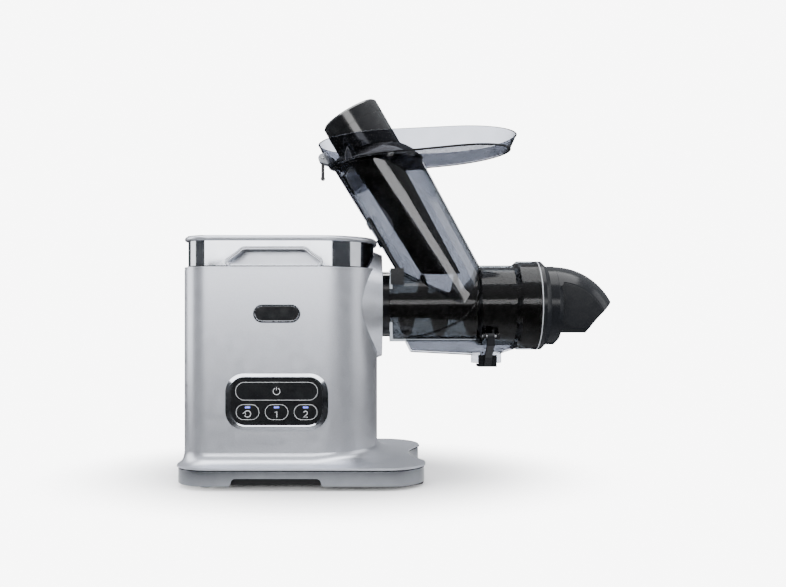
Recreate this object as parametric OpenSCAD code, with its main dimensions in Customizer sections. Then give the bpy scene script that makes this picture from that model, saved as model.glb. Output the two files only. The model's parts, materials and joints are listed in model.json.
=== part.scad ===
// Horizontal cold press juicer: a motor housing on a broad base, a juicing chamber
// with a slanted feed tube and food tray, a pusher and a hooked pulp spout.
// Lengths are in millimetres. Inside the modules X is measured from the face of the
// drive boss, Y from the auger axis and Z from the table; set_down() then moves the
// middle of the whole length to X = 0.

/* [Base] */
// Flange beyond the body at the front and the back
base_side = 15; // [10:0.5:20]
// Flange beyond the body at the left end
base_left = 5; // [4:0.5:12]
// Foot plate beyond the body under the chamber
base_reach = 45; // [38:1:60]
// Height of the rubber feet
foot_h = 4; // [3:0.5:8]
// Radius of a rubber foot
foot_r = 9; // [7:0.5:10]
// Height of the skirt band
skirt_h = 13.5; // [12:0.5:24]
// Shadow gap between skirt band and flange
groove_h = 1.3; // [0.8:0.1:2]
// Thickness of the flange at its rim
flange_t = 1.8; // [1.4:0.1:3]
// Rise of the cove from the flange to the body
cove_h = 11.6; // [8:0.2:18]
// Width of the arch in the front of the skirt
arch_w = 84; // [40:1:110]
// Height of the arch in the front of the skirt
arch_h = 7; // [4:0.5:9]
// Depth of the round bite between the two lobes
bite_depth = 14; // [8:1:18]

/* [Body] */
// Length of the body
body_l = 181; // [180:1:200]
// Width of the body
body_w = 160; // [156:1:180]
// Height of the body above the cove
body_h = 170; // [169:1:180]
// Corner radius at the left end
corner_left = 27; // [20:1:35]
// Corner radius at the right end
corner_right = 62; // [55:1:66]
// Wall of the body shell
body_wall = 2.6; // [2.2:0.1:3]
// Body end to the face of the drive boss
boss_proud = 5; // [4:0.5:10]

/* [Top] */
// Height of the polished band above the body
band_h = 26.4; // [24:0.2:40]
// Step of the band inside the body surface
band_inset = 3.4; // [3:0.1:4]
// Wall of the polished band
band_wall = 1.6; // [1.2:0.1:2]
// Height of the rolled rim of the tray
rim_h = 2.6; // [2:0.1:4]
// Width of a grip at its lower edge
grip_w = 88; // [70:1:92]
// Height of a grip
grip_h = 16.6; // [12:0.2:17]
// Depth of a grip pocket
grip_depth = 18; // [14:1:24]

/* [Panel] */
// Width of the control panel
panel_w = 82.7; // [80:0.1:84]
// Height of the control panel
panel_h = 42.5; // [41:0.1:44]
// Width of the bright bezel round the panel
bezel_t = 5.4; // [4:0.2:6]
// Height of the panel centre above the table
panel_z = 79; // [70:1:90]
// Width of the power button
power_w = 76; // [60:0.5:77]
// Height of the power button
power_h = 17.3; // [14:0.1:18]
// Width of a small button
key_w = 22; // [18:0.5:24]
// Height of a small button
key_h = 14.7; // [12:0.1:15]
// Pitch of the small buttons
key_pitch = 26.4; // [25:0.2:27]
// Travel of the buttons
key_travel = 1.2; // [0.8:0.1:1.5]
// Width of the blank badge with its rim
badge_w = 43; // [30:1:50]
// Height of the blank badge with its rim
badge_h = 17; // [12:0.5:20]
// Height of the badge centre above the table
badge_z = 159.3; // [145:0.1:170]

/* [Drive] */
// Depth of the auger axis below the top of the body
axis_depth = 35.2; // [34.6:0.1:36]
// Radius of the boss at its face
boss_r = 50; // [46:0.5:54]
// Growth of the boss radius per unit of length
boss_slope = 0.42; // [0.2:0.02:0.6]
// Radius of the bayonet ring
bayonet_r = 31; // [30.5:0.1:33]
// Length of the bayonet ring
bayonet_l = 7; // [6:0.2:7]
// Radius of the drive shaft
shaft_r = 7; // [6:0.1:8]
// Module of the fast gear pair
module_fast = 1; // [0.95:0.01:1.05]
// Module of the slow gear pair
module_slow = 1.25; // [1.2:0.01:1.28]
// Teeth of both pinions
pinion_teeth = 14; // [13:1:15]
// Teeth of the idler wheel
idler_teeth = 70; // [68:1:72]
// Teeth of the output wheel
output_teeth = 49; // [47:1:50]
// Backlash of the gears at the pitch circle
backlash = 0.16; // [0.1:0.02:0.3]
// Depth of the motor axis below the auger axis
motor_drop = 75; // [72:0.5:77]
// Radius of the motor can
motor_r = 33; // [30:0.5:36]

/* [Chamber] */
// Radius of the barrel
barrel_r = 36; // [35.5:0.1:37]
// Wall of the barrel
barrel_wall = 3.8; // [3:0.1:4]
// Radius of the juice section round the strainer
juice_r = 40; // [39.5:0.1:41]
// Radius of the end ring
ring_r = 44; // [43.5:0.1:46]
// Station of the step from barrel to juice section
juice_x = 96; // [94:0.5:98]
// Station of the step from juice section to end ring
ring_x = 132; // [130:0.5:134]
// Station of the joint between end ring and end cap
cap_x = 153; // [152:0.5:156]
// Radius of the auger flights in the feed section
auger_r = 31; // [28:0.1:31.4]
// Pitch of the auger flights
auger_pitch = 33; // [26:1:44]
// Width of the juice trough
trough_w = 26; // [20:1:30]

/* [Feed] */
// Lean of the feed tube from the vertical
lean = 30; // [28:0.5:32]
// Station where the tube axis meets the auger axis
feed_x = 77.6; // [75:0.2:78]
// Radius of the tube at its mouth
mouth_r = 40.4; // [40:0.1:42]
// Wall of the feed tube
tube_wall = 2.4; // [2:0.1:3]
// Length of the tube along its axis
tube_l = 163.6; // [155:0.2:175]
// Slope of the tray floor
tray_slope = 5.6; // [4:0.2:7]
// Length of the tray floor
tray_l = 180; // [160:1:200]
// Width of the tray floor
tray_w = 117; // [112:1:130]
// Wall of the tray
tray_wall = 2; // [1.6:0.1:3]
// Radius of the chute lid
lid_r = 45.8; // [44:0.2:47]
// Height of the lid dome
lid_h = 21; // [18:0.5:24]
// Radius of the pusher at its top
pusher_r = 23; // [20:0.5:24]
// Radius of the pusher cap
pusher_cap_r = 29.75; // [28:0.25:31]

/* [Spout] */
// Length of the spout beyond the barrel joint
spout_l = 74; // [66:1:80]
// Half width of the spout at its grip flats
cheek_y = 32; // [28:0.5:33]
// Wall of the spout
spout_wall = 2.6; // [2:0.1:3.5]

/* [Hidden] */
$fn = 96;
// Clearances: fixed fit, sliding fit, running fit and soft seat
fixed = 0.1;
slide = 0.2;
running = 0.05;
seat = 0.3;

// Stations of the body and the base along X
xr = -boss_proud;
xl = xr - body_l;
base_xl = xl - base_left;
base_xr = xr + base_reach;
half_w = body_w / 2;
base_half = half_w + base_side;

// Levels, and the height of the auger axis
flange_z = foot_h + skirt_h + groove_h;
plate_z = flange_z + flange_t;
body_z = plate_z + cove_h;
body_top = body_z + body_h;
band_z = body_top - 2;
band_top = body_top + band_h;
top_z = band_top + rim_h;
tray_floor_z = body_top + 2.8;
lip_z = body_top - 4.4;
axis_z = body_top - axis_depth;
motor_z = axis_z - motor_drop;

// Base outline
base_corner = 32;
lobe_r = 38;
tip_r = 10;
bite_r = 88;
bite_x = base_xr - bite_depth + bite_r;
tip_dx = bite_x - base_xr + tip_r;
tip_y = sqrt(pow(bite_r + tip_r, 2) - pow(tip_dx, 2));
skirt_inset = 1.2;
skirt_t = 1.6;
pan_inset = skirt_inset + skirt_t;
pan_t = 2.4;
pan_floor = 3;

// Feed tube and tray
feed_dir = [-sin(lean), 0, cos(lean)];
tube_rise = tan(tray_slope);
mouth_x = feed_x - tube_l * sin(lean);
mouth_z = axis_z + tube_l * cos(lean);
tray_x0 = mouth_x - 48.6;
tray_z0 = mouth_z - 48.6 * tube_rise;
rim_slope = 2.72;
tray_h = 22.6;

// Overall ends, which set the origin
cap_tip = cap_x + spout_l - 0.5;
face_x = -(base_xl + cap_tip) / 2;

// Gear train: both pairs share the idler axis
c_fast = (pinion_teeth + idler_teeth) * module_fast / 2;
c_slow = (pinion_teeth + output_teeth) * module_slow / 2;
idler_drop = (motor_drop * motor_drop + c_slow * c_slow - c_fast * c_fast) / (2 * motor_drop);
idler_y = sqrt(c_slow * c_slow - idler_drop * idler_drop);
idler_z = axis_z - idler_drop;
case_x0 = -80;
case_x1 = -50;
case_wall = 2.2;
cover_t = 4;
can_x0 = xl + 28;
can_x1 = case_x0 - cover_t;
armature_l = can_x1 - can_x0 - 32;

// Panel
panel_x = xl + 89;
panel_y = -half_w - 0.6;
bezel_y = -half_w - 1.4;
key_z = panel_z - 9.4;
power_z = panel_z + 9.6;
board_y = -half_w + 6.1;

// Moves a piece from the drive face frame to the origin of the whole machine
module set_down() {
  translate([face_x, 0, 0]) children();
}

// Turns a shape drawn along Z so that it runs along X from station x at height z
module along_x(x, z = axis_z, y = 0) {
  translate([x, y, z]) rotate([90, 0, 90]) children();
}

// Places a shape on the feed tube axis, s from the auger axis
module along_tube(s = 0) {
  translate([feed_x, 0, axis_z]) rotate([0, -lean, 0]) translate([0, 0, s]) children();
}

// Turns a drawing in X and Z so that it is extruded from the front towards the back
module from_front(y0, y1) {
  translate([0, y1, 0]) rotate([90, 0, 0]) linear_extrude(y1 - y0) children();
}

module ring(r_out, r_in, h) {
  difference() {
    cylinder(r = r_out, h = h);
    translate([0, 0, -1]) cylinder(r = r_in, h = h + 2);
  }
}

// Outline of the body, inset by g
module body_plan(g = 0) {
  for (s = [-1, 1]) {
    translate([xl + corner_left, s * (half_w - corner_left)]) circle(corner_left - g);
    translate([xr - corner_right, s * (half_w - corner_right)]) circle(corner_right - g);
  }
  translate([xl + corner_left, g - half_w])
    square([body_l - corner_left - corner_right, body_w - 2 * g]);
  translate([xl + g, corner_left - half_w]) square([corner_left, body_w - 2 * corner_left]);
  translate([xr - corner_right - 1, corner_right - half_w])
    square([corner_right - g + 1, body_w - 2 * corner_right]);
}

module body_ring(g0, g1) {
  difference() {
    body_plan(g0);
    body_plan(g1);
  }
}

// Outline of the base with its two lobes and the bite between them, inset by g
module base_plan(g = 0) {
  tangent = [bite_x - (bite_r + g) * tip_dx / (bite_r + tip_r), (bite_r + g) * tip_y / (bite_r + tip_r)];
  difference() {
    union() {
      for (s = [-1, 1]) {
        translate([base_xl + base_corner, s * (base_half - base_corner)]) circle(base_corner - g);
        translate([base_xr - lobe_r, s * (base_half - lobe_r)]) circle(lobe_r - g);
      }
      translate([base_xl + base_corner, g - base_half])
        square([base_xr - base_xl - base_corner - lobe_r, 2 * (base_half - g)]);
      translate([base_xl + g, base_corner - base_half])
        square([base_corner, 2 * (base_half - base_corner)]);
      translate([base_xr - lobe_r - 1, lobe_r - base_half])
        square([lobe_r - g + 1, 2 * (base_half - lobe_r)]);
    }
    translate([bite_x, 0]) circle(bite_r + g);
    for (s = [0, 1]) mirror([0, s]) difference() {
      translate(tangent) square([base_xr + 1 - tangent[0], tip_y - tangent[1]]);
      translate([base_xr - tip_r, tip_y]) circle(tip_r - g);
    }
  }
}

module base_ring(g0, g1) {
  difference() {
    base_plan(g0);
    base_plan(g1);
  }
}

// Points round a rounded rectangle at height z; r0 and r1 are its left and right corners
function loop(x0, x1, half, r0, r1, z, n = 10) = [
  for (c = [
    [x1 - r1, r1 - half, r1, -90],
    [x1 - r1, half - r1, r1, 0],
    [x0 + r0, half - r0, r0, 90],
    [x0 + r0, r0 - half, r0, 180]
  ])
    for (i = [0:n]) let (a = c[3] + 90 * i / n) [c[0] + c[2] * cos(a), c[1] + c[2] * sin(a), z]
];

// Skin over a list of closed loops with equal counts. closed joins the last to the first
module skin(loops, closed = false) {
  n = len(loops[0]);
  m = len(loops);
  last = closed ? m - 1 : m - 2;
  sides = [
    for (k = [0:last]) for (i = [0:n - 1])
      let (a = k * n + i, b = k * n + (i + 1) % n)
      let (c = ((k + 1) % m) * n + (i + 1) % n, d = ((k + 1) % m) * n + i)
        each [[a, c, b], [a, d, c]]
  ];
  ends = closed ? [] : [[for (i = [0:n - 1]) i], [for (i = [0:n - 1]) m * n - 1 - i]];
  polyhedron(points = [for (l = loops) each l], faces = concat(sides, ends), convexity = 6);
}

// Pill outline
module pill(w, h) {
  for (s = [-1, 1]) translate([s * (w - h) / 2, 0]) circle(h / 2);
  square([w - h, h], center = true);
}

// Rectangle with round corners
module round_rect(w, h, r) {
  for (sx = [-1, 1], sz = [-1, 1]) translate([sx * (w / 2 - r), sz * (h / 2 - r)]) circle(r);
  square([w - 2 * r, h], center = true);
  square([w, h - 2 * r], center = true);
}

// ---------------------------------------------------------------- base

feet_at = [
  [xl + 24, -base_half + 27], [xl + 24, base_half - 27],
  [base_xr - 10.5, -base_half + 40], [base_xr - 10.5, base_half - 40]
];
screws_at = [
  [xl + 60, -base_half + 20], [xl + 60, base_half - 20],
  [xr - 30, -base_half + 20], [xr - 30, base_half - 20],
  [base_xr - 24, 0]
];
board_posts = [[-92, -32], [-92, 32], [-34, -32], [-34, 32]];

module base_plate() color("#1b1d1f") set_down() {
  difference() {
    union() {
      translate([0, 0, foot_h]) linear_extrude(pan_floor) base_plan(pan_inset);
      translate([0, 0, foot_h]) linear_extrude(flange_z - foot_h) base_ring(pan_inset, pan_inset + pan_t);
      for (p = board_posts) translate([p[0], p[1], foot_h]) cylinder(r = 3.2, h = 8);
      // Stiffening ribs across the pan
      for (x = [xl + 28, xr - 12, base_xr - 36]) translate([x, -60, foot_h]) cube([2, 120, 6]);
      // Wall round the recess of the arch
      translate([panel_x + 0.5 - arch_w / 2 - 2, 2 - base_half + pan_inset, foot_h])
        cube([arch_w + 4, 10, arch_h + 4]);
    }
    for (p = feet_at) translate([p[0], p[1], 0]) cylinder(r = 4, h = 30);
    for (p = screws_at) translate([p[0], p[1], 0]) {
      cylinder(r = 2, h = 30);
      translate([0, 0, foot_h - 1]) cylinder(r = 3.6, h = 2.6);
    }
    // Air slots under the motor
    for (i = [0:9]) translate([xl + 62 + 7 * i, -22, 0]) cube([3, 44, 12]);
    translate([panel_x + 0.5, 0, foot_h]) arch(base_half - 10);
  }
}

// Arch through the front of the skirt, drawn from y = -depth outwards
module arch(depth) {
  translate([0, -depth, 0]) rotate([90, 0, 0]) linear_extrude(40) {
    translate([0, -1]) polygon([
      [-arch_w / 2, 0], [arch_w / 2, 0],
      for (a = [0:15:90]) [arch_w / 2 - 5.6 + 4 * sin(90 - a), arch_h - 3 + 4 * sin(a)],
      for (a = [90:-15:0]) [-arch_w / 2 + 5.6 - 4 * sin(90 - a), arch_h - 3 + 4 * sin(a)]
    ]);
  }
}

module rubber_feet() color("#101112") set_down() for (p = feet_at) translate([p[0], p[1], 0]) {
  cylinder(r1 = foot_r - 0.8, r2 = foot_r, h = 1);
  translate([0, 0, 1]) cylinder(r = foot_r, h = foot_h - 1);
  cylinder(r = 4, h = foot_h + pan_floor + 1);
}

module skirt_band() color("#7a7e86") set_down() difference() {
  translate([0, 0, foot_h]) linear_extrude(skirt_h) base_ring(skirt_inset, pan_inset);
  translate([panel_x + 0.5, 0, foot_h]) arch(base_half - 10);
}

module base_cover() color("#c9ccd2") set_down() {
  reach = 30;
  rise = [for (a = [90:-10:0]) [1 - cos(a), cove_h * (1 - sin(a)) + (a == 90 ? 0.05 : 0)]];
  outer = [for (p = rise) let (f = p[0]) loop(
    xl - f * (base_left - 1.5), xr + f * reach, half_w + f * (base_side - 1.5),
    corner_left + 5 * f, corner_right + 12 * f, plate_z + p[1])];
  foot = loop(xl - base_left + 1.6, xr + reach, half_w + base_side - 1.6, corner_left + 5,
    corner_right + 12, flange_z + 0.6);
  inner = [for (z = [body_z, flange_z + 0.6]) loop(
    xl + 5, xr - 5, half_w - 5, corner_left - 5, corner_right - 5, z)];
  skin(concat([foot], outer, inner), closed = true);
  difference() {
    union() {
      translate([0, 0, flange_z]) linear_extrude(flange_t - 0.7) base_plan(0);
      translate([0, 0, flange_z]) linear_extrude(flange_t) base_plan(0.6);
    }
    translate([0, 0, flange_z - 1]) linear_extrude(5) body_plan(6);
  }
  // Upstand that locates the body shell, and the screw bosses
  translate([0, 0, flange_z]) linear_extrude(cove_h + 8)
    body_ring(body_wall + fixed, 6);
  for (p = screws_at) translate([p[0], p[1], foot_h + pan_floor])
    difference() {
      cylinder(r = 4.5, h = flange_z - foot_h - pan_floor + 1);
      translate([0, 0, -1]) cylinder(r = 1.6, h = 11);
    }
}

module case_screws() color("#6d7074") set_down() for (p = screws_at)
  translate([p[0], p[1], foot_h + 0.2]) {
    difference() {
      cylinder(r = 3.4, h = 1.4);
      translate([-0.5, -2.2, -1]) cube([1, 4.4, 1.6]);
      translate([-2.2, -0.5, -1]) cube([4.4, 1, 1.6]);
    }
    cylinder(r = 1.6, h = 11);
  }

// ---------------------------------------------------------------- body

module body_shell() color("#c4c7cd") set_down() difference() {
  translate([0, 0, body_z]) linear_extrude(body_h) body_plan(0);
  translate([0, 0, body_z - 1]) linear_extrude(lip_z - body_z + 1) body_plan(body_wall);
  translate([0, 0, body_z]) linear_extrude(body_h + 1) body_plan(8);
  translate([0, 0, band_z]) linear_extrude(5) body_plan(band_inset - fixed);
  // Shadow line under the top edge
  translate([0, 0, body_top - 2.2]) linear_extrude(0.8) body_ring(-1, 0.5);
  translate([panel_x, 0, panel_z]) from_front(-half_w - 2, -half_w + 14)
    round_rect(panel_w + 2 * bezel_t + 2 * fixed, panel_h + 1.6 * bezel_t + 2 * fixed, 20);
  translate([panel_x, 0, badge_z]) from_front(-half_w - 2, -half_w + 1) pill(badge_w + 0.2, badge_h + 0.2);
  along_x(xr - 30) cylinder(r = bayonet_r + 1 + slide, h = 60);
  latch_room();
  plunger_hole();
  // Hole for the cord inlet
  translate([xl + 40, half_w + 5, inlet_z]) rotate([90, 0, 0]) cylinder(r = 7, h = 20);
}

inlet_z = body_z + 18;

module cord_inlet() color("#151617") set_down() translate([xl + 40, half_w, inlet_z])
  rotate([-90, 0, 0]) difference() {
    union() {
      translate([0, 0, -5]) cylinder(r = 7 - running, h = 6);
      cylinder(r = 9, h = 2);
      cylinder(r1 = 7, r2 = 5.4, h = 9);
      translate([0, 0, -6]) cylinder(r = 8, h = 6 - body_wall - fixed);
    }
    translate([0, 0, -20]) cylinder(r = 3.5, h = 40);
  }

// Outline of a grip: wide at its lower edge, narrow above, with round corners
module grip_outline(g = 0) {
  w = grip_w / 2;
  r = 8;
  offset(delta = -g) polygon([
    for (a = [-90:15:15]) [w - 4 + 4 * cos(a), 4 + 4 * sin(a)],
    for (a = [34:14:90]) [w - 10 - r + r * cos(a), grip_h - r + r * sin(a)],
    for (a = [90:14:146]) [-w + 10 + r + r * cos(a), grip_h - r + r * sin(a)],
    for (a = [165:15:270]) [-w + 4 + 4 * cos(a), 4 + 4 * sin(a)]
  ]);
}

grip_x = panel_x - 2.8;
grip_z = body_top + 0.9;

// Repeats a shape drawn at the front on the back
module front_and_back() for (s = [0, 1]) mirror([0, s, 0]) children();

module top_band() color("#b9bcc2") set_down() difference() {
  translate([0, 0, band_z]) linear_extrude(band_top - band_z)
    body_ring(band_inset, band_inset + band_wall);
  front_and_back() translate([grip_x, 0, grip_z]) from_front(-half_w - 2, -half_w + 12) grip_outline(0);
}

module grip_frames() color("#e4e5e8") set_down() front_and_back() translate([grip_x, 0, grip_z])
  from_front(-half_w + band_inset - 0.7, -half_w + band_inset + 3) difference() {
    grip_outline(0.05);
    grip_outline(1.35);
  }

module storage_tray() color("#c4c7cd") set_down() {
  wall0 = band_inset + band_wall + fixed;
  pocket_y = -half_w + wall0;
  difference() {
    union() {
      translate([0, 0, band_top]) linear_extrude(rim_h - 0.6) body_ring(band_inset - 1.2, wall0 + 2);
      translate([0, 0, band_top]) linear_extrude(rim_h) body_ring(band_inset - 0.6, wall0 + 2);
      translate([0, 0, tray_floor_z]) linear_extrude(band_top - tray_floor_z + 1)
        body_ring(wall0, wall0 + 2);
      translate([0, 0, tray_floor_z]) linear_extrude(2.2) body_plan(wall0);
      front_and_back() translate([grip_x, 0, grip_z]) intersection() {
        from_front(pocket_y + 1.7, pocket_y + grip_depth + 2) grip_outline(-2);
        translate([-100, -half_w, 0]) cube([200, 60, 40]);
      }
    }
    front_and_back() translate([grip_x, 0, grip_z])
      from_front(-half_w - 5, pocket_y + grip_depth) grip_outline(1.5);
    // Room for the back of the grip frames
    front_and_back() translate([grip_x, 0, grip_z])
      from_front(-half_w - 5, -half_w + band_inset + 3.1) grip_outline(0);
  }
}

// ---------------------------------------------------------------- panel and badge

// Width of the chamfer of the bezel
lip_w = 2.9;

// Rounded rectangle as a loop in the plane y, for the faces of the bezel
function frame_loop(w, h, r, y, n = 10) = [
  for (c = [[1, -1, -90], [1, 1, 0], [-1, 1, 90], [-1, -1, 180]])
    for (i = [0:n]) let (a = c[2] + 90 * i / n)
      [c[0] * (w / 2 - r) + r * cos(a), y, c[1] * (h / 2 - r) + r * sin(a)]
];

module panel_bezel() color("#d5d7da") set_down() translate([panel_x, 0, panel_z]) {
  w = panel_w + 2 * bezel_t;
  h = panel_h + 1.6 * bezel_t;
  // Chamfered face, proud of the body, with a flat lip round the panel
  skin([
    frame_loop(w, h, 20, -half_w + 1.3), frame_loop(w, h, 20, -half_w - 0.1),
    frame_loop(w - 2.6 * lip_w, h - 2.2 * lip_w, 18, bezel_y),
    frame_loop(w - 3 * lip_w, h - 2.6 * lip_w, 17, bezel_y),
    frame_loop(panel_w + 0.2, panel_h + 0.2, 15, panel_y + 0.4),
    frame_loop(panel_w + 0.2, panel_h + 0.2, 15, -half_w + 1.3)
  ], closed = true);
  difference() {
    from_front(-half_w + 0.9, board_y - 1.2) round_rect(w - 0.4, h - 0.4, 19.8);
    from_front(-half_w - 1, panel_y + 3.1) round_rect(panel_w + 0.5, panel_h + 0.5, 15.15);
    from_front(bezel_y - 1, 0) round_rect(panel_w - 4, panel_h - 3, 13);
  }
}

keys = [-key_pitch, 0, key_pitch];

module control_panel() color("#0b0c0d") set_down() difference() {
  union() {
    translate([panel_x, 0, panel_z]) from_front(panel_y, panel_y + 3) round_rect(panel_w, panel_h, 15);
    // Posts that carry the button board
    for (sx = [-1, 1]) translate([panel_x + sx * 13.2, 0, key_z - 4.5])
      from_front(panel_y + 2, board_y) circle(1.4);
    translate([panel_x, 0, (power_z - power_h / 2 + key_z + key_h / 2) / 2])
      from_front(panel_y + 2, board_y) circle(0.9);
  }
  translate([panel_x, 0, power_z]) from_front(panel_y - 1, panel_y + 3.2)
    pill(power_w + 2 * slide, power_h + 2 * slide);
  for (k = keys) translate([panel_x + k, 0, key_z]) from_front(panel_y - 1, panel_y + 3.2)
    pill(key_w + 2 * slide, key_h + 2 * slide);
}

module button_board() color("#2f5d3a") set_down() {
  translate([panel_x, 0, panel_z]) from_front(board_y, board_y + 1.6) square([70, 34], center = true);
  translate([panel_x, 0, power_z]) from_front(board_y - 1, board_y) circle(2.5);
  for (k = keys) translate([panel_x + k, 0, key_z]) from_front(board_y - 1, board_y) circle(2.5);
}

// Button cap w by h at x and z. It stands 0.8 out of the panel
module button(x, z, w, h) translate([x, 0, z]) {
  from_front(panel_y - 0.8, panel_y + 2.4) pill(w, h);
  from_front(panel_y + 2, board_y - 1 - key_travel - 0.1) circle(2);
}

module power_button() color("#111214") set_down() button(panel_x, power_z, power_w, power_h);

module small_button(k) difference() {
  button(panel_x + k, key_z, key_w, key_h);
  light_window(k, 0);
}

// Light window let into the face of a small button
module light_window(k, g) translate([panel_x + k, 0, key_z + 4.3])
  from_front(panel_y - 1 + g * 2, panel_y) square([4.7 - g, 1.6 - g], center = true);

module reverse_button() color("#111214") set_down() small_button(-key_pitch);
module speed_1_button() color("#111214") set_down() small_button(0);
module speed_2_button() color("#111214") set_down() small_button(key_pitch);
module reverse_light() color("#7c83e8") set_down() light_window(-key_pitch, fixed);
module speed_1_light() color("#7c83e8") set_down() light_window(0, fixed);
module speed_2_light() color("#7c83e8") set_down() light_window(key_pitch, fixed);

module badge_rim() color("#e8e9eb") set_down() translate([panel_x, 0, badge_z]) difference() {
  from_front(-half_w - 0.9, -half_w + 0.95) pill(badge_w, badge_h);
  from_front(-half_w - 2, -half_w - 0.2) pill(badge_w - 3.6, badge_h - 4);
}

module badge_plate() color("#08090a") set_down() translate([panel_x, 0, badge_z])
  from_front(-half_w - 0.8, -half_w - 0.2) pill(badge_w - 3.8, badge_h - 4.2);

// ---------------------------------------------------------------- drive end

module drive_boss() color("#c9ccd2") set_down() {
  back = 44;
  difference() {
    union() {
      boss_shell(back);
      // Bearing tube through the body shell to the gearbox
      along_x(case_x1 + 4) cylinder(r = bayonet_r + 1, h = -case_x1 - 4);
    }
    along_x(case_x1) cylinder(r = bearing_r, h = 60);
    latch_room();
    plunger_hole();
  }
}

module boss_shell(back) {
  difference() {
    along_x(-back) difference() {
      cylinder(r1 = boss_r + boss_slope * back, r2 = boss_r, h = back);
      translate([0, 0, -1]) cylinder(r1 = boss_r + boss_slope * (back + 1) - 3,
        r2 = boss_r + boss_slope * 4 - 3, h = back - 3);
      cylinder(r = bayonet_r - 1, h = back + 1);
    }
    translate([0, 0, body_z]) linear_extrude(body_h + 0.2) body_plan(-0.15);
    translate([0, 0, body_top]) linear_extrude(band_h + 40) body_plan(band_inset - 0.15);
  }
}

bearing_r = 17;

module latch_room() translate([-8, -7.7, axis_z + 24.3]) cube([30, 15.4, 9.4]);

module bayonet_ring() color("#141517") set_down() difference() {
  along_x(0) difference() {
    cylinder(r = bayonet_r, h = bayonet_l);
    // Groove for the lugs, behind the front lip
    translate([0, 0, -1]) cylinder(r = 29, h = bayonet_l - 1.6);
    translate([0, 0, -1]) cylinder(r = 26.7, h = bayonet_l + 2);
    // Three gaps that let the lugs in
    for (a = [0:120:240]) rotate(a + 24) translate([0, 0, -1]) linear_extrude(bayonet_l + 2)
      intersection() {
        circle(28.8);
        polygon([[0, 0], [60, -17.2], [60, 17.2]]);
      }
  }
  latch_room();
}

module chamber_latch() color("#26282a") set_down() difference() {
  translate([-4, -7.5, axis_z + 24.5]) cube([11, 15, 9]);
  along_x(-10) cylinder(r = 29.1, h = 30);
  for (i = [0:3]) translate([1, -10, axis_z + 26.3 + 2 * i]) cube([7, 20, 0.8]);
  translate([-5, -20, axis_z + 32.6]) cube([5, 40, 3]);
}

module interlock_switch() color("#303338") set_down() {
  translate([switch_x - 13, switch_y - 4, lip_z - seat - 7]) cube([13, 8, 7]);
  along_x(switch_x - 1, switch_z, switch_y) cylinder(r = 2, h = 0.4 - switch_x);
}

// Plunger of the switch, through the body and the boss
switch_y = -26;
switch_z = axis_z + 30;

// The switch stands by the end wall, further in where the corner of the body rounds past it
switch_edge = max(0, 4 - switch_y - half_w + corner_right);
switch_corner = corner_right - sqrt(pow(corner_right - body_wall, 2) - pow(switch_edge, 2));
switch_x = xr - max(body_wall + 2, switch_corner + 0.5);
module plunger_hole() along_x(xr - body_wall - 6, switch_z, switch_y) cylinder(r = 2 + slide, h = 20);

// ---------------------------------------------------------------- gears

function inv(a) = tan(a) * 180 / PI - a;

// Spur gear outline with involute flanks at a 25 degree pressure angle
module gear_outline(teeth, m) {
  pressure = 25;
  rp = teeth * m / 2;
  rb = rp * cos(pressure);
  tip = rp + 0.92 * m;
  root = rp - 1.2 * m;
  start = max(rb, root + 0.05);
  thick = 90 / teeth - backlash / 2 / rp * 180 / PI;
  flank = [
    for (t = [0, 0.5, 1]) let (r = start + t * (tip - start))
      [r, thick + inv(pressure) - inv(acos(rb / r))]
  ];
  points = [
    for (i = [0:teeth - 1]) let (c = 360 * i / teeth) each concat(
      [[root, c - flank[0][1] - 0.4]],
      [for (f = flank) [f[0], c - f[1]]],
      [for (k = [2:-1:0]) [flank[k][0], c + flank[k][1]]],
      [[root, c + flank[0][1] + 0.4]])
  ];
  polygon([for (p = points) p[0] * [cos(p[1]), sin(p[1])]]);
}

// Angle from one axis to another, seen along X
fast_angle = atan2(motor_z - idler_z, -idler_y);
slow_angle = atan2(axis_z - idler_z, -idler_y);

module output_gear() color("#e9e4d2") set_down() along_x(-64) difference() {
  union() {
    linear_extrude(10) rotate(slow_angle + 180) gear_outline(output_teeth, module_slow);
    cylinder(r = 12, h = 12);
  }
  translate([0, 0, -1]) cylinder(r = shaft_r, h = 20);
  for (a = [0:60:300]) rotate(a) translate([20, 0, -1]) cylinder(r = 4.5, h = 20);
}

module idler_gear() color("#ece8da") set_down() along_x(-76, idler_z, idler_y) difference() {
  union() {
    linear_extrude(8) rotate(fast_angle + 180 / idler_teeth) gear_outline(idler_teeth, module_fast);
    translate([0, 0, 8]) cylinder(r = 7.4, h = 3);
    translate([0, 0, 11]) linear_extrude(12) rotate(slow_angle + 180 / pinion_teeth)
      gear_outline(pinion_teeth, module_slow);
  }
  translate([0, 0, -1]) cylinder(r = 3 + running, h = 40);
  for (a = [0:60:300]) rotate(a) translate([21, 0, -1]) cylinder(r = 6, h = 20);
}

// Hexagon across its corners, for the drive end and the auger socket
module hexagon(r, h) {
  linear_extrude(h) circle(r, $fn = 6);
}

module drive_shaft() color("#9da1a6") set_down() {
  along_x(-65) cylinder(r = shaft_r, h = 67);
  along_x(2) hexagon(7, 24);
}

module output_bearings() color("#8b8f94") set_down() for (x = [case_x1 + 6, -15])
  along_x(x) ring(bearing_r - running, shaft_r + running, 11);

module shaft_seal() color("#26282a") set_down() along_x(-3.8)
  ring(bearing_r - running, shaft_r + running, 3.6);

module case_outline(g) hull() {
  translate([0, axis_z]) circle(output_teeth * module_slow / 2 + 4.6 - g, $fn = 64);
  translate([idler_y, idler_z]) circle(idler_teeth * module_fast / 2 + 4.6 - g, $fn = 64);
  translate([0, motor_z]) circle(pinion_teeth * module_fast / 2 + 6 - g, $fn = 48);
}

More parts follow.
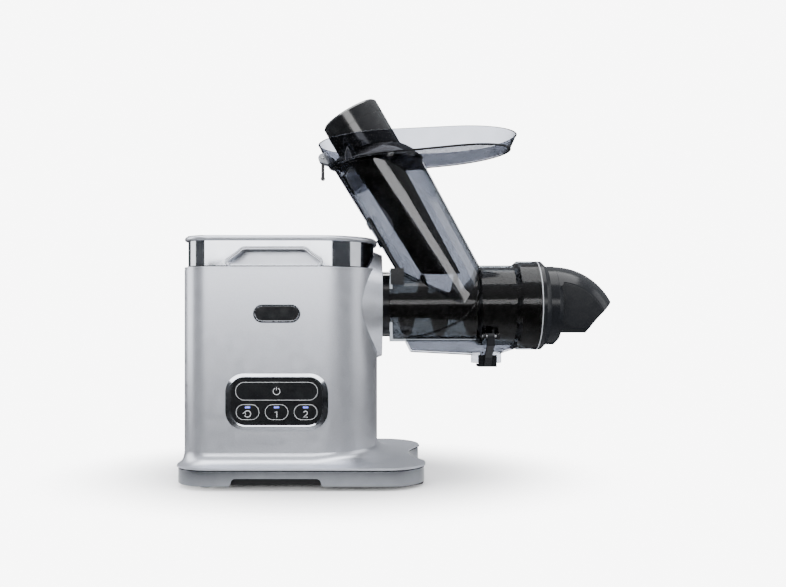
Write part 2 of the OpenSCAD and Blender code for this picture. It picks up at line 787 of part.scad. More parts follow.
module gearbox_case() color("#8d9196") set_down() difference() {
  along_x(case_x0, 0) linear_extrude(case_x1 + 4 - case_x0) case_outline(0);
  along_x(case_x0 - 1, 0) linear_extrude(case_x1 - case_x0 + 1) case_outline(case_wall);
  along_x(case_x1 - 10) cylinder(r = 13, h = 30);
  along_x(case_x1 - 10, idler_z, idler_y) cylinder(r = 3, h = 13);
}

module gearbox_cover() color("#a3a7ab") set_down() difference() {
  along_x(can_x1, 0) linear_extrude(cover_t) case_outline(0);
  along_x(can_x1 - 1, motor_z) cylinder(r = 9, h = 10);
  along_x(can_x1 + 1, idler_z, idler_y) cylinder(r = 3, h = 10);
}

module idler_pin() color("#b9bcc0") set_down() along_x(can_x1 + 1, idler_z, idler_y)
  cylinder(r = 3, h = case_x1 + 3 - can_x1 - 1);

// ---------------------------------------------------------------- motor

module motor_can() color("#777b80") set_down() difference() {
  along_x(can_x0, motor_z) cylinder(r = motor_r, h = can_x1 - can_x0);
  along_x(can_x0 - 1, motor_z) cylinder(r = motor_r - 2, h = can_x1 - can_x0 - 7);
  along_x(can_x1 - 12, motor_z) cylinder(r = 11, h = 7);
  along_x(can_x1 - 12, motor_z) cylinder(r = 9, h = 20);
}

module motor_magnets() color("#3a3c40") set_down() along_x(can_x0 + 12, motor_z) difference() {
  ring(motor_r - 2, motor_r - 6.4, armature_l + 4);
  for (s = [-1, 1]) translate([-8, s * 30 - 15, -1]) cube([16, 30, 60]);
}

module motor_end_bell() color("#3b3e42") set_down() difference() {
  union() {
    along_x(can_x0 - 4, motor_z) cylinder(r = motor_r, h = 4);
    along_x(can_x0 - 9, motor_z) cylinder(r = 14, h = 6);
    along_x(can_x0 - 2, motor_z) cylinder(r = motor_r - 2.1, h = 6);
  }
  along_x(can_x0 - 8, motor_z) cylinder(r = 9, h = 20);
  along_x(can_x0 - 20, motor_z) cylinder(r = 5, h = 40);
  for (a = [30:60:330]) along_x(can_x0 - 20, motor_z) rotate(a) translate([22, 0, 0]) cylinder(r = 4, h = 40);
}

module motor_bearings() color("#8b8f94") set_down() {
  along_x(can_x0 - 8, motor_z) ring(9, 4 + running, 6);
  along_x(can_x1 - 7, motor_z) ring(9, 4 + running, 6);
}

module motor_cradle() color("#2c2e31") set_down() difference() {
  union() {
    for (x = [can_x0 + 8, can_x1 - 22]) translate([x, -26, foot_h + pan_floor])
      cube([4, 52, motor_z - foot_h - pan_floor - 22]);
    translate([can_x0 + 8, -26, foot_h + pan_floor]) cube([can_x1 - can_x0 - 26, 52, 3]);
  }
  along_x(can_x0 - 1, motor_z) cylinder(r = motor_r, h = 100);
  for (i = [0:9]) translate([xl + 62 + 7 * i, -22, 0]) cube([3, 44, 12]);
  for (x = [can_x0, can_x1 - 30]) translate([x, -12, 22]) cube([30, 24, 22]);
}

module power_board() color("#2f5d3a") set_down() {
  translate([-97, -37, foot_h + 8]) cube([68, 74, 1.6]);
  translate([-84, -24, foot_h + 9]) cube([24, 20, 16]);
  for (i = [0:2]) translate([-46, -18 + 14 * i, foot_h + 9]) cylinder(r = 5, h = 14);
  translate([-88, 8, foot_h + 9]) cube([30, 5, 18]);
}

module motor_rotor() color("#9da1a6") set_down() {
  along_x(can_x0 - 20, motor_z) cylinder(r = 4, h = case_x0 + 2 - can_x0 + 20);
  // Slotted armature
  along_x(can_x0 + 14, motor_z) difference() {
    cylinder(r = motor_r - 7, h = armature_l);
    for (a = [0:30:330]) rotate(a) translate([14, -1.6, -1]) cube([motor_r, 3.2, 60]);
  }
  // Commutator
  along_x(can_x0 + 5, motor_z) cylinder(r = 8, h = 6);
  // Pinion
  along_x(case_x0 + 2, motor_z) linear_extrude(12) rotate(fast_angle) gear_outline(pinion_teeth, module_fast);
}

module rotor_windings() color("#b4662e") set_down() {
  for (x = [can_x0 + 11.4, can_x0 + 14.1 + armature_l]) along_x(x, motor_z) ring(motor_r - 9, 4, 2.4);
}

module cooling_fan() color("#2b2d30") set_down() along_x(can_x0 - 18, motor_z) difference() {
  union() {
    cylinder(r = 8, h = 7);
    cylinder(r = 27, h = 1.4);
    for (a = [0:40:320]) rotate(a) translate([7, -0.8, 0]) rotate([0, 0, 12]) cube([19, 1.6, 7]);
  }
  translate([0, 0, -1]) cylinder(r = 4, h = 20);
}

// ---------------------------------------------------------------- auger

// Ring of points across the auger at station x: a core with one raised flight whose
// crest turns with the station
function flight_ring(x, core, crest, a) = [
  for (p = [
    [0, 1], [16, 1], [40, 0], [76, 0], [112, 0], [148, 0], [180, 0], [212, 0], [248, 0],
    [284, 0], [316, 0], [344, 1]
  ]) let (r = p[1] > 0 ? crest : core, t = a + p[0]) [x, r * cos(t), r * sin(t)]
];

auger_x0 = 16;
auger_x1 = cap_x - 13;

module auger() color("#17191b") set_down() difference() {
  union() {
    translate([0, 0, axis_z]) skin([for (i = [0:90]) let (
      t = i / 90,
      x = auger_x0 + t * (auger_x1 - auger_x0),
      squeeze = max(0, (x - 60) / (auger_x1 - 60)),
      core = 13 + 11 * squeeze,
      crest = (x > juice_x - 4 ? auger_r - 1.2 : auger_r) * min(1, 0.72 + (auger_x1 - x) / 16)
    ) flight_ring(x, core, max(crest, core + 1), -360 * (x - auger_x0) / auger_pitch)]);
    along_x(4) cylinder(r = 12, h = auger_x0 - 3.5);
    along_x(auger_x1 - 0.5) cylinder(r1 = 20, r2 = 9, h = 8);
    along_x(auger_x1) cylinder(r = 6, h = cap_x + 3.6 - auger_x1);
  }
  along_x(3) hexagon(7 + fixed, 26);
}

// ---------------------------------------------------------------- chamber

barrel_x0 = bayonet_l + 0.5;

// Outside of the barrel, used to seat the tube, the trough and the housing
module barrel_outside(g = 0) {
  along_x(barrel_x0) cylinder(r = barrel_r + g, h = juice_x - barrel_x0 + 1);
  along_x(juice_x - 4) cylinder(r1 = barrel_r + g, r2 = juice_r + g, h = 4);
  along_x(juice_x) cylinder(r = juice_r + g, h = ring_x - juice_x + 1);
  along_x(ring_x - 3) cylinder(r1 = juice_r + g, r2 = ring_r + g, h = 5);
  along_x(ring_x + 2) cylinder(r = ring_r + g, h = cap_x - ring_x - 2);
}

// Outside of the feed tube, grown by g
module tube_outside(g = 0) along_tube(0)
  cylinder(r1 = barrel_r + g, r2 = mouth_r + g + 0.9, h = tube_l + 30);

module tube_bore(g = 0) along_tube(0)
  cylinder(r1 = barrel_r - tube_wall + g, r2 = mouth_r - tube_wall + g + 0.9, h = tube_l + 30);

module chamber_barrel() color("#2a2e31") set_down() difference() {
  union() {
    barrel_outside();
    // Spigot with three lugs that lock behind the bayonet lip
    along_x(1) cylinder(r = 26.4, h = barrel_x0);
    for (a = [0:120:240]) along_x(1) rotate(a - 6) linear_extrude(3.2) intersection() {
      circle(28.6);
      polygon([[0, 0], [60, -15], [60, 15]]);
    }
    // Ears for the hinge pin of the drip stop
    for (s = [-1, 1]) translate([nozzle_x + s * 6.4 - 1.5, hinge_y, hinge_z]) rotate([0, 90, 0])
      hull() {
        cylinder(r = 3.2, h = 3, $fn = 32);
        translate([-3, 8, 0]) cylinder(r = 3.2, h = 3, $fn = 32);
      }
  }
  along_x(-1) cylinder(r = 16, h = 30);
  along_x(barrel_x0 + 3.5) cylinder(r = barrel_r - barrel_wall, h = 200);
  along_x(juice_x) cylinder(r = juice_r - 3.4, h = 100);
  along_x(ring_x + 2) cylinder(r = ring_r - 3, h = 100);
  intersection() {
    tube_bore();
    translate([0, -100, axis_z + 2]) cube([300, 200, 300]);
  }
  // Juice slot into the trough
  translate([juice_x + 3, -8, axis_z - ring_r - 2]) cube([ring_x - juice_x - 6, 16, 30]);
  translate([nozzle_x - 20, hinge_y, hinge_z]) rotate([0, 90, 0]) cylinder(r = 1.2 + running, h = 40);
}

nozzle_x = 104;
hinge_y = -37;
hinge_z = axis_z - 29.5;
nozzle_top = axis_z - 50;
nozzle_end = axis_z - 57;
lever_z = nozzle_end - 3.6;

module feed_tube() color("#a9adb5") set_down() difference() {
  union() {
    tube_outside();
    // Guides of the interlock rod
    for (s = [rod_top - 30, rod_top - 10]) along_tube(s) rotate(rod_turn)
      translate([rod_r - 4.6, -3.4, 0]) cube([8, 6.8, 8]);
  }
  tube_bore();
  barrel_outside(0.05);
  along_x(0) cylinder(r = barrel_r + 0.05, h = 150);
  translate([-100, -100, axis_z - 100]) cube([300, 200, 103]);
  // Mouth, cut parallel to the tray floor
  translate([mouth_x, 0, mouth_z]) rotate([0, -tray_slope, 0]) translate([-200, -100, -seat])
    cube([400, 200, 100]);
  rod_line(2.2 + fixed, 50, 130);
}

// The interlock rod runs along the tube on its front left side
rod_r = 43;
rod_turn = 212;
rod_top = tube_l - 45.6;
module rod_line(r, s, h) along_tube(s) rotate(rod_turn) translate([rod_r, 0, 0]) cylinder(r = r, h = h);

module interlock_rod() color("#1d1f22") set_down() {
  rod_line(2.2, 59, rod_top - 59);
  rod_line(1.4, rod_top - 1, 3);
}

module interlock_housing() color("#1d1f22") set_down() difference() {
  translate([8, switch_y - 6, axis_z + 20]) cube([13, 12, 16]);
  barrel_outside(0.02);
  tube_outside(0.05);
  rod_line(2.2 + fixed, 58, 130);
}

// Side view of the juice trough under the barrel
trough_side = [
  [23.7, axis_z - 30], [23.7, axis_z - 37.2], [28.2, axis_z - 46.1], [86.5, axis_z - 49],
  [115.6, axis_z - 47.7], [131.7, axis_z - 42.5], [136, axis_z - 38], [136, axis_z - 30]
];

module juice_trough() color("#3a3e42") set_down() difference() {
  union() {
    from_front(-trough_w / 2, trough_w / 2) polygon(trough_side);
    translate([nozzle_x, 0, nozzle_end]) {
      translate([0, 0, 0]) linear_extrude(nozzle_top - nozzle_end + 3) pill(30.4, 15);
    }
  }
  barrel_outside(0.02);
  // Channel that runs down to the nozzle
  intersection() {
    from_front(-trough_w / 2 + 2, trough_w / 2 - 2) offset(delta = -2) polygon(trough_side);
    translate([0, -50, axis_z - 67]) cube([200, 100, 34.4]);
  }
  translate([juice_x + 3, -8, axis_z - 46]) cube([ring_x - juice_x - 6, 16, 30]);
  translate([nozzle_x, 0, nozzle_end - 1]) cylinder(r = 6, h = 20);
}

module strainer() color("#7f858b") set_down() difference() {
  union() {
    along_x(juice_x + 0.6) cylinder(r = 33.2, h = 46);
    along_x(juice_x + 0.6) cylinder(r = juice_r - 3.5, h = 2.4);
    along_x(ring_x + 8.6) cylinder(r = ring_r - 3.1, h = 2.4);
  }
  along_x(juice_x) cylinder(r = auger_r - 0.4, h = 60);
  for (x = [juice_x + 5, juice_x + 19], a = [0:15:345]) along_x(x) rotate(a)
    translate([25, -0.6, 0]) cube([20, 1.2, 11]);
}

module drip_stop_lever() color("#111214") set_down() difference() {
  union() {
    // Strap that follows the barrel down to the nozzle
    from_side(nozzle_x - 3.5, nozzle_x + 3.5) polygon([
      [hinge_y - 3, hinge_z - 1], [hinge_y + 2.6, hinge_z - 2.4], [-26, hinge_z - 13.5],
      [-13.4, nozzle_end + 5.5], [-9.6, nozzle_end + 2], [-9.6, lever_z], [-13.5, lever_z],
      [-20, nozzle_end + 6], [hinge_y + 1, hinge_z - 9.5]
    ]);
    along_x(nozzle_x - 3.5, hinge_z, hinge_y) cylinder(r = 3, h = 7);
    // Cap over the nozzle
    translate([nozzle_x - 9, -13.5, lever_z]) cube([18, 4.4, 11.6]);
    translate([nozzle_x, 0, lever_z]) linear_extrude(2) round_rect(18, 25, 3);
  }
  along_x(nozzle_x - 20, hinge_z, hinge_y) cylinder(r = 1.2 + running, h = 40);
}

// Extrudes a drawing in Y and Z from station x0 to x1
module from_side(x0, x1) {
  along_x(x0, 0) linear_extrude(x1 - x0) children();
}

// Flat seal pad between the lever and the end of the nozzle
seal_t = 1.5;
module drip_seal() color("#2a2c2e") set_down() translate([nozzle_x, 0, nozzle_end - fixed - seal_t])
  cylinder(r = 7.2, h = seal_t);

module drip_pin() color("#b9bcc0") set_down() along_x(nozzle_x - 8.2, hinge_z, hinge_y)
  cylinder(r = 1.2, h = 16.4);

// ---------------------------------------------------------------- end cap

neck_r = 39;
spout_arc = 64.6;

// Underside of the hood at distance x from the joint: the hooked edge of the mouth
hood_low = -26.5;
hook_r = 118.6;
hook_at = [142.1, -92.5];
hook_x0 = hook_at[0] - sqrt(hook_r * hook_r - pow(hood_low - hook_at[1], 2));
function hook(x) = hook_at[1] + sqrt(hook_r * hook_r - pow(x - hook_at[0], 2));

// Hood, inset by g: a round neck under a crown that is turned about a line across the
// spout, cut to the side view given as child 0
module hood(g = 0) translate([cap_x, 0, axis_z]) intersection() {
  crown = neck_r - 0.4 - g;
  translate([17, 0, neck_r - 0.4 - spout_arc]) rotate([90, 0, 0]) rotate_extrude() polygon([
    [0, -crown], [0, crown],
    for (i = [0:24]) let (y = crown * cos(7.5 * i)) [spout_arc - neck_r + 0.4 + crown * sin(7.5 * i), y]
  ]);
  along_x(0, 0) cylinder(r = neck_r - 0.2 - g, h = 100);
  children();
}

// Finger flats on both cheeks, with a round end towards the neck
flat_r = 24;
flat_x = 36.4;
module cheek_flats() for (s = [0, 1]) mirror([0, s, 0]) translate([cap_x, 0, axis_z])
  from_front(-60, -cheek_y) {
    translate([flat_x, 1.5]) circle(flat_r);
    translate([flat_x, 1.5 - flat_r]) square([60, 2 * flat_r]);
  }

module end_cap() color("#151719") set_down() difference() {
  union() {
    along_x(cap_x + 0.2) cylinder(r = ring_r, h = 4);
    along_x(cap_x + 4.2) cylinder(r1 = ring_r, r2 = neck_r, h = 5);
    along_x(cap_x + 9.2) cylinder(r = neck_r, h = 8);
    along_x(cap_x + 17.2) cylinder(r1 = neck_r, r2 = 35, h = 4);
    // Spigot into the end ring
    along_x(cap_x - 9) cylinder(r = ring_r - 3.3, h = 10);
    difference() {
      hood() from_front(-50, 50) polygon([
        [10, 60], [10, hood_low],
        for (i = [0:16]) let (x = hook_x0 + (spout_l - 0.5 - hook_x0) * i / 16) [x, hook(x)],
        [spout_l - 0.5, 60]
      ]);
      cheek_flats();
    }
  }
  along_x(cap_x - 10) cylinder(r = 37.4, h = 10);
  // Pulp passage between the spokes of the journal bearing
  difference() {
    along_x(cap_x - 1) cylinder(r = 23, h = 26);
    along_x(cap_x - 2) cylinder(r = 9, h = 8);
    for (a = [90:120:330]) along_x(cap_x - 2) rotate(a) translate([0, -2, 0]) cube([30, 4, 8]);
  }
  along_x(cap_x - 1) cylinder(r = 6 + running, h = 5.6);
  // Pulp channel, open through the hooked edge
  hood(spout_wall) from_front(spout_wall - cheek_y, cheek_y - spout_wall)
    polygon([[22, 60], [22, hood_low + spout_wall], [spout_l, hood_low + spout_wall], [spout_l, 60]]);
}

// ---------------------------------------------------------------- hopper

// Stadium outline of length l and width w in a sloped plane; x0 is its left tip
function stadium(x0, l, w, z0, slope, n = 30) = [
  for (end = [0, 1]) for (i = [0:n]) let (
    a = 180 * (end + i / n) - 90,
    x = x0 + (end == 0 ? l - w / 2 : w / 2) + w / 2 * cos(a)
  ) [x, w / 2 * sin(a), z0 + (x - x0) * tan(slope)]
];

module food_tray() color("#c3c4cc") set_down() {
  flare = 10;
  difference() {
    union() {
      skin([
        stadium(tray_x0, tray_l, tray_w, tray_z0, tray_slope),
        stadium(tray_x0 - flare, tray_l + 1.6 * flare, tray_w + 20, tray_z0 + tray_h - 1, rim_slope),
        stadium(tray_x0 - flare - 1, tray_l + 1.6 * flare + 2, tray_w + 22, tray_z0 + tray_h, rim_slope),
        stadium(tray_x0 - flare + 1, tray_l + 1.6 * flare - 2, tray_w + 18, tray_z0 + tray_h, rim_slope),
        stadium(tray_x0 + tray_wall, tray_l - 2 * tray_wall, tray_w - 2 * tray_wall,
          tray_z0 + tray_wall, tray_slope)
      ]);
      // Spigot that sits in the mouth of the tube
      difference() {
        along_tube(tube_l - 14)
          cylinder(r1 = mouth_r - tube_wall - 0.9, r2 = mouth_r - tube_wall - 0.4, h = 20);
        translate([mouth_x, 0, mouth_z]) rotate([0, -tray_slope, 0]) translate([-300, -200, 0.5])
          cube([600, 400, 100]);
      }
      // Lug of the lid hinge
      translate([tray_x0 - 6, 4, tray_z0 + 9]) rotate([90, 0, 0]) hull() {
        cylinder(r = 3.6, h = 2.6, $fn = 24);
        translate([6.8, -3.4, 0]) cylinder(r = 3, h = 2.6, $fn = 24);
      }
    }
    along_tube(tube_l - 30) cylinder(r = mouth_r - tube_wall - 2.6, h = 80);
    translate([tray_x0 - 6, 10, tray_z0 + 9]) rotate([90, 0, 0]) cylinder(r = 1.5, h = 20);
    // Slot for the ear of the lid and the lever
    translate([tray_x0 - 14, -7.6, tray_z0 + 3.6]) cube([16.5, 6.5, 11]);
  }
}

// Dome of the lid, solid, grown by g
module lid_dome(g = 0) translate([mouth_x, 0, mouth_z]) rotate([0, -tray_slope, 0])
  translate([0, 0, tray_wall + 0.02]) intersection() {
    rho = (lid_r * lid_r + lid_h * lid_h) / (2 * lid_h);
    translate([0, 0, lid_h - rho]) sphere(r = rho + g);
    cylinder(r = lid_r + g, h = 80);
  }

module chute_lid() color("#33383d") set_down() difference() {
  union() {
    difference() {
      lid_dome();
      translate([0, 0, -0.01]) lid_dome(-2);
    }
    // Collar round the pusher
    intersection() {
      lid_dome(-0.5);
      along_tube(tube_l - 4) ring(pusher_r + 3.4, pusher_r + 1, 40);
    }
    // Hinge ear at the left end
    translate([tray_x0 - 6, -1.4, tray_z0 + 9]) rotate([90, 0, 0]) hull() {
      cylinder(r = 4.6, h = 3, $fn = 32);
      translate([9, -2, 0]) cylinder(r = 3, h = 3, $fn = 32);
    }
  }
  along_tube(tube_l - 60) cylinder(r = pusher_r + 1, h = 140);
  translate([tray_x0 - 6, 10, tray_z0 + 9]) rotate([90, 0, 0]) cylinder(r = 1.5, h = 20);
}

module lid_hinge_pin() color("#b9bcc0") set_down() translate([tray_x0 - 6, 6, tray_z0 + 9])
  rotate([90, 0, 0]) cylinder(r = 1.5, h = 14);

module interlock_lever() color("#1d1f22") set_down() translate([tray_x0 - 6, -4.7, tray_z0 + 9])
  rotate([90, 0, 0]) difference() {
    union() {
      cylinder(r = 3, h = 2.6);
      translate([-1.6, -20, 0]) cube([3.2, 20, 2.6]);
      translate([0, -20, 0]) cylinder(r = 2.2, h = 2.6);
    }
    translate([0, 0, -1]) cylinder(r = 1.5 + running, h = 6);
  }

// ---------------------------------------------------------------- pusher

cap_top = 221;
pusher_end = axis_z + auger_r + 0.8;

module pusher_cap() color("#1b1d20") set_down() difference() {
  union() {
    along_tube(tube_l - 10) cylinder(r = pusher_cap_r, h = cap_top - tube_l + 8);
    along_tube(cap_top - 2) cylinder(r1 = pusher_cap_r, r2 = pusher_cap_r - 2, h = 2);
  }
  lid_dome(0.4);
  tray_side();
  // Seam under the crown and the hollow of the cap
  along_tube(cap_top - 15) ring(pusher_cap_r + 1, pusher_cap_r - 0.5, 0.9);
  along_tube(tube_l - 20) cylinder(r = pusher_cap_r - 2.4, h = cap_top - tube_l + 17);
}

// Space below the tray floor
module tray_side() translate([mouth_x, 0, mouth_z]) rotate([0, -tray_slope, 0])
  translate([-300, -200, tray_wall + 0.4 - 200]) cube([600, 400, 200]);

module pusher_body() color("#16181b") set_down() difference() {
  s0 = (pusher_end - axis_z) / cos(lean) - 12;
  along_tube(s0) cylinder(r1 = 16.6, r2 = pusher_r, h = cap_top - 3 - fixed - s0);
  translate([-100, -100, pusher_end - 100]) cube([400, 200, 100]);
  along_tube(s0 + 30) cylinder(r1 = 13, r2 = pusher_r - 3, h = cap_top - s0 - 36);
}

base_plate();
rubber_feet();
skirt_band();
base_cover();
case_screws();
body_shell();
cord_inlet();
top_band();
storage_tray();
grip_frames();
panel_bezel();
control_panel();
button_board();
badge_rim();
badge_plate();
drive_boss();
bayonet_ring();
chamber_latch();
interlock_switch();
gearbox_case();
gearbox_cover();
idler_pin();
output_bearings();
shaft_seal();
motor_can();
motor_magnets();
motor_end_bell();
motor_bearings();
motor_cradle();
power_board();
power_button();
reverse_button();
reverse_light();
speed_1_button();
speed_1_light();
speed_2_button();
speed_2_light();
motor_rotor();
rotor_windings();
cooling_fan();
idler_gear();
output_gear();
drive_shaft();
auger();
chamber_barrel();
feed_tube();
juice_trough();
strainer();
interlock_rod();
interlock_housing();
drip_stop_lever();
drip_seal();
drip_pin();
end_cap();
food_tray();
chute_lid();
lid_hinge_pin();
interlock_lever();
pusher_cap();
pusher_body();
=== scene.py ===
# %% [markdown]
# A horizontal cold press juicer, dressed for the studio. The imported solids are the
# fixed frame: every length here is in metres in that same frame, with the table at
# Z = 0, the buttons on the -Y side and the pulp spout towards +X. Each step adds one
# finish or one group of pieces and says why it is made that way.

import json
import math

import bmesh
import bpy
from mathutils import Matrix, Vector


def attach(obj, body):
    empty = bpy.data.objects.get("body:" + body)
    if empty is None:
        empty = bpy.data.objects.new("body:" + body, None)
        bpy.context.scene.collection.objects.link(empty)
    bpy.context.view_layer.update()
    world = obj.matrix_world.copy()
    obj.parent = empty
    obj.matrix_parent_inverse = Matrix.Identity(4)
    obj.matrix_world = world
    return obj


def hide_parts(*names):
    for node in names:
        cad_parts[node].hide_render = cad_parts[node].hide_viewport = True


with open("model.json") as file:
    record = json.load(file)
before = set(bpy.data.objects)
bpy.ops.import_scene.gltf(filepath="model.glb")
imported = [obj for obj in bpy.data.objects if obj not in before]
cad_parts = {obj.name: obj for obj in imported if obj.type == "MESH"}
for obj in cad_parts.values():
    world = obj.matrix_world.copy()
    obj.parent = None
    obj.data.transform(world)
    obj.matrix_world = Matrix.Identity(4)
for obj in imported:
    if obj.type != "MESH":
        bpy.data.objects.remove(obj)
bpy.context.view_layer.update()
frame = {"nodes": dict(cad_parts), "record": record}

# %% [markdown]
# The machine was drawn from the face of its drive boss. Stations along the machine
# are easier to read from there, so one function turns a point in millimetres from
# that face into the frame's metres.

# %% Stations and units
MM = 0.001
FACE_X = -17.75  # face of the drive boss, in the frame
AXIS_Z = 167.0  # axis of the auger above the table


def place(x, y, z):
    return Vector(((x + FACE_X) * MM, y * MM, z * MM))


print("drive face at", place(0, 0, AXIS_Z).to_tuple(4))

# %% [markdown]
# The camera stands level with the middle of the machine, 0.9 m in front of it, which
# is how a catalogue picture of a kitchen machine is taken: level verticals, little
# perspective. A small lens shift frames the machine without tilting the camera.

# %% Camera
PICTURE_W, PICTURE_H = 786, 587
FOCAL_PX = 900.0
VANISHING = (370.0, 310.0)  # where lines along Y meet, in the picture
CAMERA_AT = (-0.02975, -0.9, 0.1625)

lens = bpy.data.cameras.new("studio_camera")
lens.sensor_width = 36.0
lens.lens = FOCAL_PX / PICTURE_W * lens.sensor_width
lens.shift_x = (PICTURE_W / 2 - VANISHING[0]) / PICTURE_W
lens.shift_y = (VANISHING[1] - PICTURE_H / 2) / PICTURE_W
lens.clip_start = 0.05
camera = bpy.data.objects.new("studio_camera", lens)
bpy.context.scene.collection.objects.link(camera)
camera.location = CAMERA_AT
camera.rotation_euler = (math.radians(90), 0, 0)
bpy.context.scene.camera = camera
print("lens", round(lens.lens, 2), "mm")

# %% [markdown]
# Colours are easiest to judge as the hex values a screen shows, but shaders work in
# linear light, so one function converts. A second small function adds a node with its
# settings and links, and a third starts a material: one Principled shader whose
# constants sit on the shader itself.

# %% Colour, node and material helpers


def srgb(code):
    """A hex colour as a screen shows it, as linear light with full opacity."""
    parts = [int(code[i : i + 2], 16) / 255 for i in (1, 3, 5)]
    linear = [p / 12.92 if p <= 0.04045 else ((p + 0.055) / 1.055) ** 2.4 for p in parts]
    return (*linear, 1.0)


def add_node(tree, kind, inputs=None, **settings):
    """A node with its settings, and its inputs either set or linked."""
    node = tree.nodes.new(kind)
    for name, value in settings.items():
        setattr(node, name, value)
    for name, value in (inputs or {}).items():
        if isinstance(value, bpy.types.NodeSocket):
            tree.links.new(value, node.inputs[name])
        else:
            node.inputs[name].default_value = value
    return node


def start_material(name, **constants):
    """A new material with its tree, its shader and the coordinates of the piece."""
    material = bpy.data.materials.new(name)
    material.use_nodes = True
    tree = material.node_tree
    tree.nodes.clear()
    sockets = {key.replace("_", " "): value for key, value in constants.items()}
    shader = add_node(tree, "ShaderNodeBsdfPrincipled", sockets)
    add_node(tree, "ShaderNodeOutputMaterial", {"Surface": shader.outputs["BSDF"]})
    where = add_node(tree, "ShaderNodeTexCoord").outputs["Object"]
    return material, tree, shader, where


print("white as linear light:", srgb("#FFFFFF"))

# %% [markdown]
# No real finish is even. Paint mottles, plate hazes over and plastic keeps the marks of
# its tool, and each of these has a size in millimetres. So every finish here is built
# from patches of a real size: they move its colour between two close shades, its
# roughness between two values and, where the surface can be felt, its relief. An image
# of a surface would do that too, but patches need no file and no unwrapping.

# %% Patchy finishes


def patches(tree, where, size_mm, low=0.0, high=1.0, detail=3.0):
    """Soft patches of a real size, running from low to high."""
    cloud = add_node(
        tree, "ShaderNodeTexNoise", {"Vector": where, "Scale": 1 / (size_mm * MM), "Detail": detail}
    )
    spread = {"From Min": 0.3, "From Max": 0.7, "To Min": low, "To Max": high}
    spread["Value"] = cloud.outputs["Fac"]
    return add_node(tree, "ShaderNodeMapRange", spread).outputs["Result"]


def wander(tree, shader, pattern, dark, light, socket="Base Color"):
    """Let a colour of the shader follow a pattern between two shades."""
    shades = {0: pattern, 6: srgb(dark), 7: srgb(light)}
    mix = add_node(tree, "ShaderNodeMix", shades, data_type="RGBA")
    tree.links.new(mix.outputs[2], shader.inputs[socket])


def surface_finish(name, shade, gloss=None, relief=None, **constants):
    """A finish of the machine. Shade is (patch in mm, dark, light), gloss is (patch in mm,
    lowest, highest roughness), relief is (depth in mm, strength, patch in mm). A relief
    without a patch of its own follows the shade."""
    material, tree, shader, where = start_material(name, **constants)
    shade_mm, dark, light = shade
    pattern = patches(tree, where, shade_mm)
    wander(tree, shader, pattern, dark, light)
    if gloss:
        tree.links.new(patches(tree, where, *gloss), shader.inputs["Roughness"])
    if relief:
        depth_mm, strength, relief_mm = relief
        height = patches(tree, where, relief_mm, detail=1.0) if relief_mm else pattern
        raised = {"Height": height, "Distance": depth_mm * MM, "Strength": strength}
        normal = add_node(tree, "ShaderNodeBump", raised).outputs["Normal"]
        tree.links.new(normal, shader.inputs["Normal"])
    return material


print("helpers for finishes: patches, wander, surface_finish")

# %% [markdown]
# Silver paint on moulded ABS. The housing is sprayed with a metallic base coat and a
# satin clear coat, so it reflects like brushed metal without lines. The aluminium
# flakes are about 0.03 mm, too fine to show from 0.9 m, so the mottle is drawn at
# 0.7 mm and kept faint. The spray leaves a slight orange peel about 2 mm across.

# %% Silver metallic paint
silver_paint = surface_finish(
    "silver_metallic_paint_on_abs",
    shade=(0.7, "#BFC2CB", "#CCCFD7"),
    gloss=(9.0, 0.30, 0.35),
    relief=(0.02, 0.12, 2.0),
    Metallic=1.0,
    Coat_Weight=0.1,
    Coat_Roughness=0.3,
)
print(silver_paint.name)

# %% [markdown]
# Bright chrome plate on ABS. The band round the top and the trims are plated and
# buffed: a mirror with a faint haze from handling. Only the haze is drawn, as a patchy
# roughness with patches about 12 mm wide, since the plate itself has no grain. The
# skirt is the same chrome plate with its colour painted darker: a painted shade that
# stands in for the darker reflections along the base. It is buffed less than the
# chrome, so its haze is wider.

# %% Bright chrome, and chrome painted darker as shade
bright_chrome = surface_finish(
    "bright_chrome_plate",
    shade=(15.0, "#B7BAC1", "#C3C6CC"),
    gloss=(12.0, 0.05, 0.11),
    Metallic=1.0,
)
# The skirt: the same chrome, its colour painted darker as painted shade of its reflections.
chrome_painted_darker = surface_finish(
    "buffed_chrome_plate_painted_darker",
    shade=(15.0, "#83868B", "#8C8F94"),
    gloss=(12.0, 0.10, 0.16),
    Metallic=1.0,
)
print(bright_chrome.name, chrome_painted_darker.name)

# %% [markdown]
# Piano black ABS, injection moulded in a polished tool. It is a dark mirror, so what
# makes it real are faint wiping marks, about 6 mm long, in the gloss.

# %% Polished black ABS
polished_black = surface_finish(
    "polished_black_abs",
    shade=(6.0, "#040405", "#08090A"),
    gloss=(8.0, 0.10, 0.17),
    IOR=1.53,
    Coat_Weight=0.4,
    Coat_Roughness=0.05,
)
print(polished_black.name)

# %% [markdown]
# Satin black ABS, moulded in a tool with fine spark texture. The sparks leave pits of
# about 0.1 mm, drawn here at 2.4 mm so that they show as a soft break in the gloss. The
# pits also swallow part of the light that a smooth face would throw back, so the level
# of the reflection is set lower than the index alone would give.

# %% Satin black ABS
satin_black = surface_finish(
    "satin_black_abs",
    shade=(2.4, "#07080A", "#0C0D0F"),
    gloss=(7.0, 0.16, 0.22),
    relief=(0.01, 0.015, None),
    IOR=1.53,
    Specular_IOR_Level=0.18,
)
print(satin_black.name)

# %% [markdown]
# Clear copolyester, moulded in polished tools. The juicing chamber and the lid are
# tinted smoke, while the feed tube, the trough and the tray are nearly clear. The real
# index is 1.54, yet the two faces of a thin wall are parallel and bend the light back,
# so one sees straight through. Tracing both bends costs many samples and gains
# nothing, so the body gets an index of 1.04 and the outer gloss comes from a coat of
# 1.54. Each face takes a little colour from the light, which is how a tint in a real
# wall adds up. Flow marks some 25 mm long give the tint its faint variation.

# %% Clear and smoke copolyester
WALL_IOR = 1.04
COPOLYESTER_IOR = 1.54


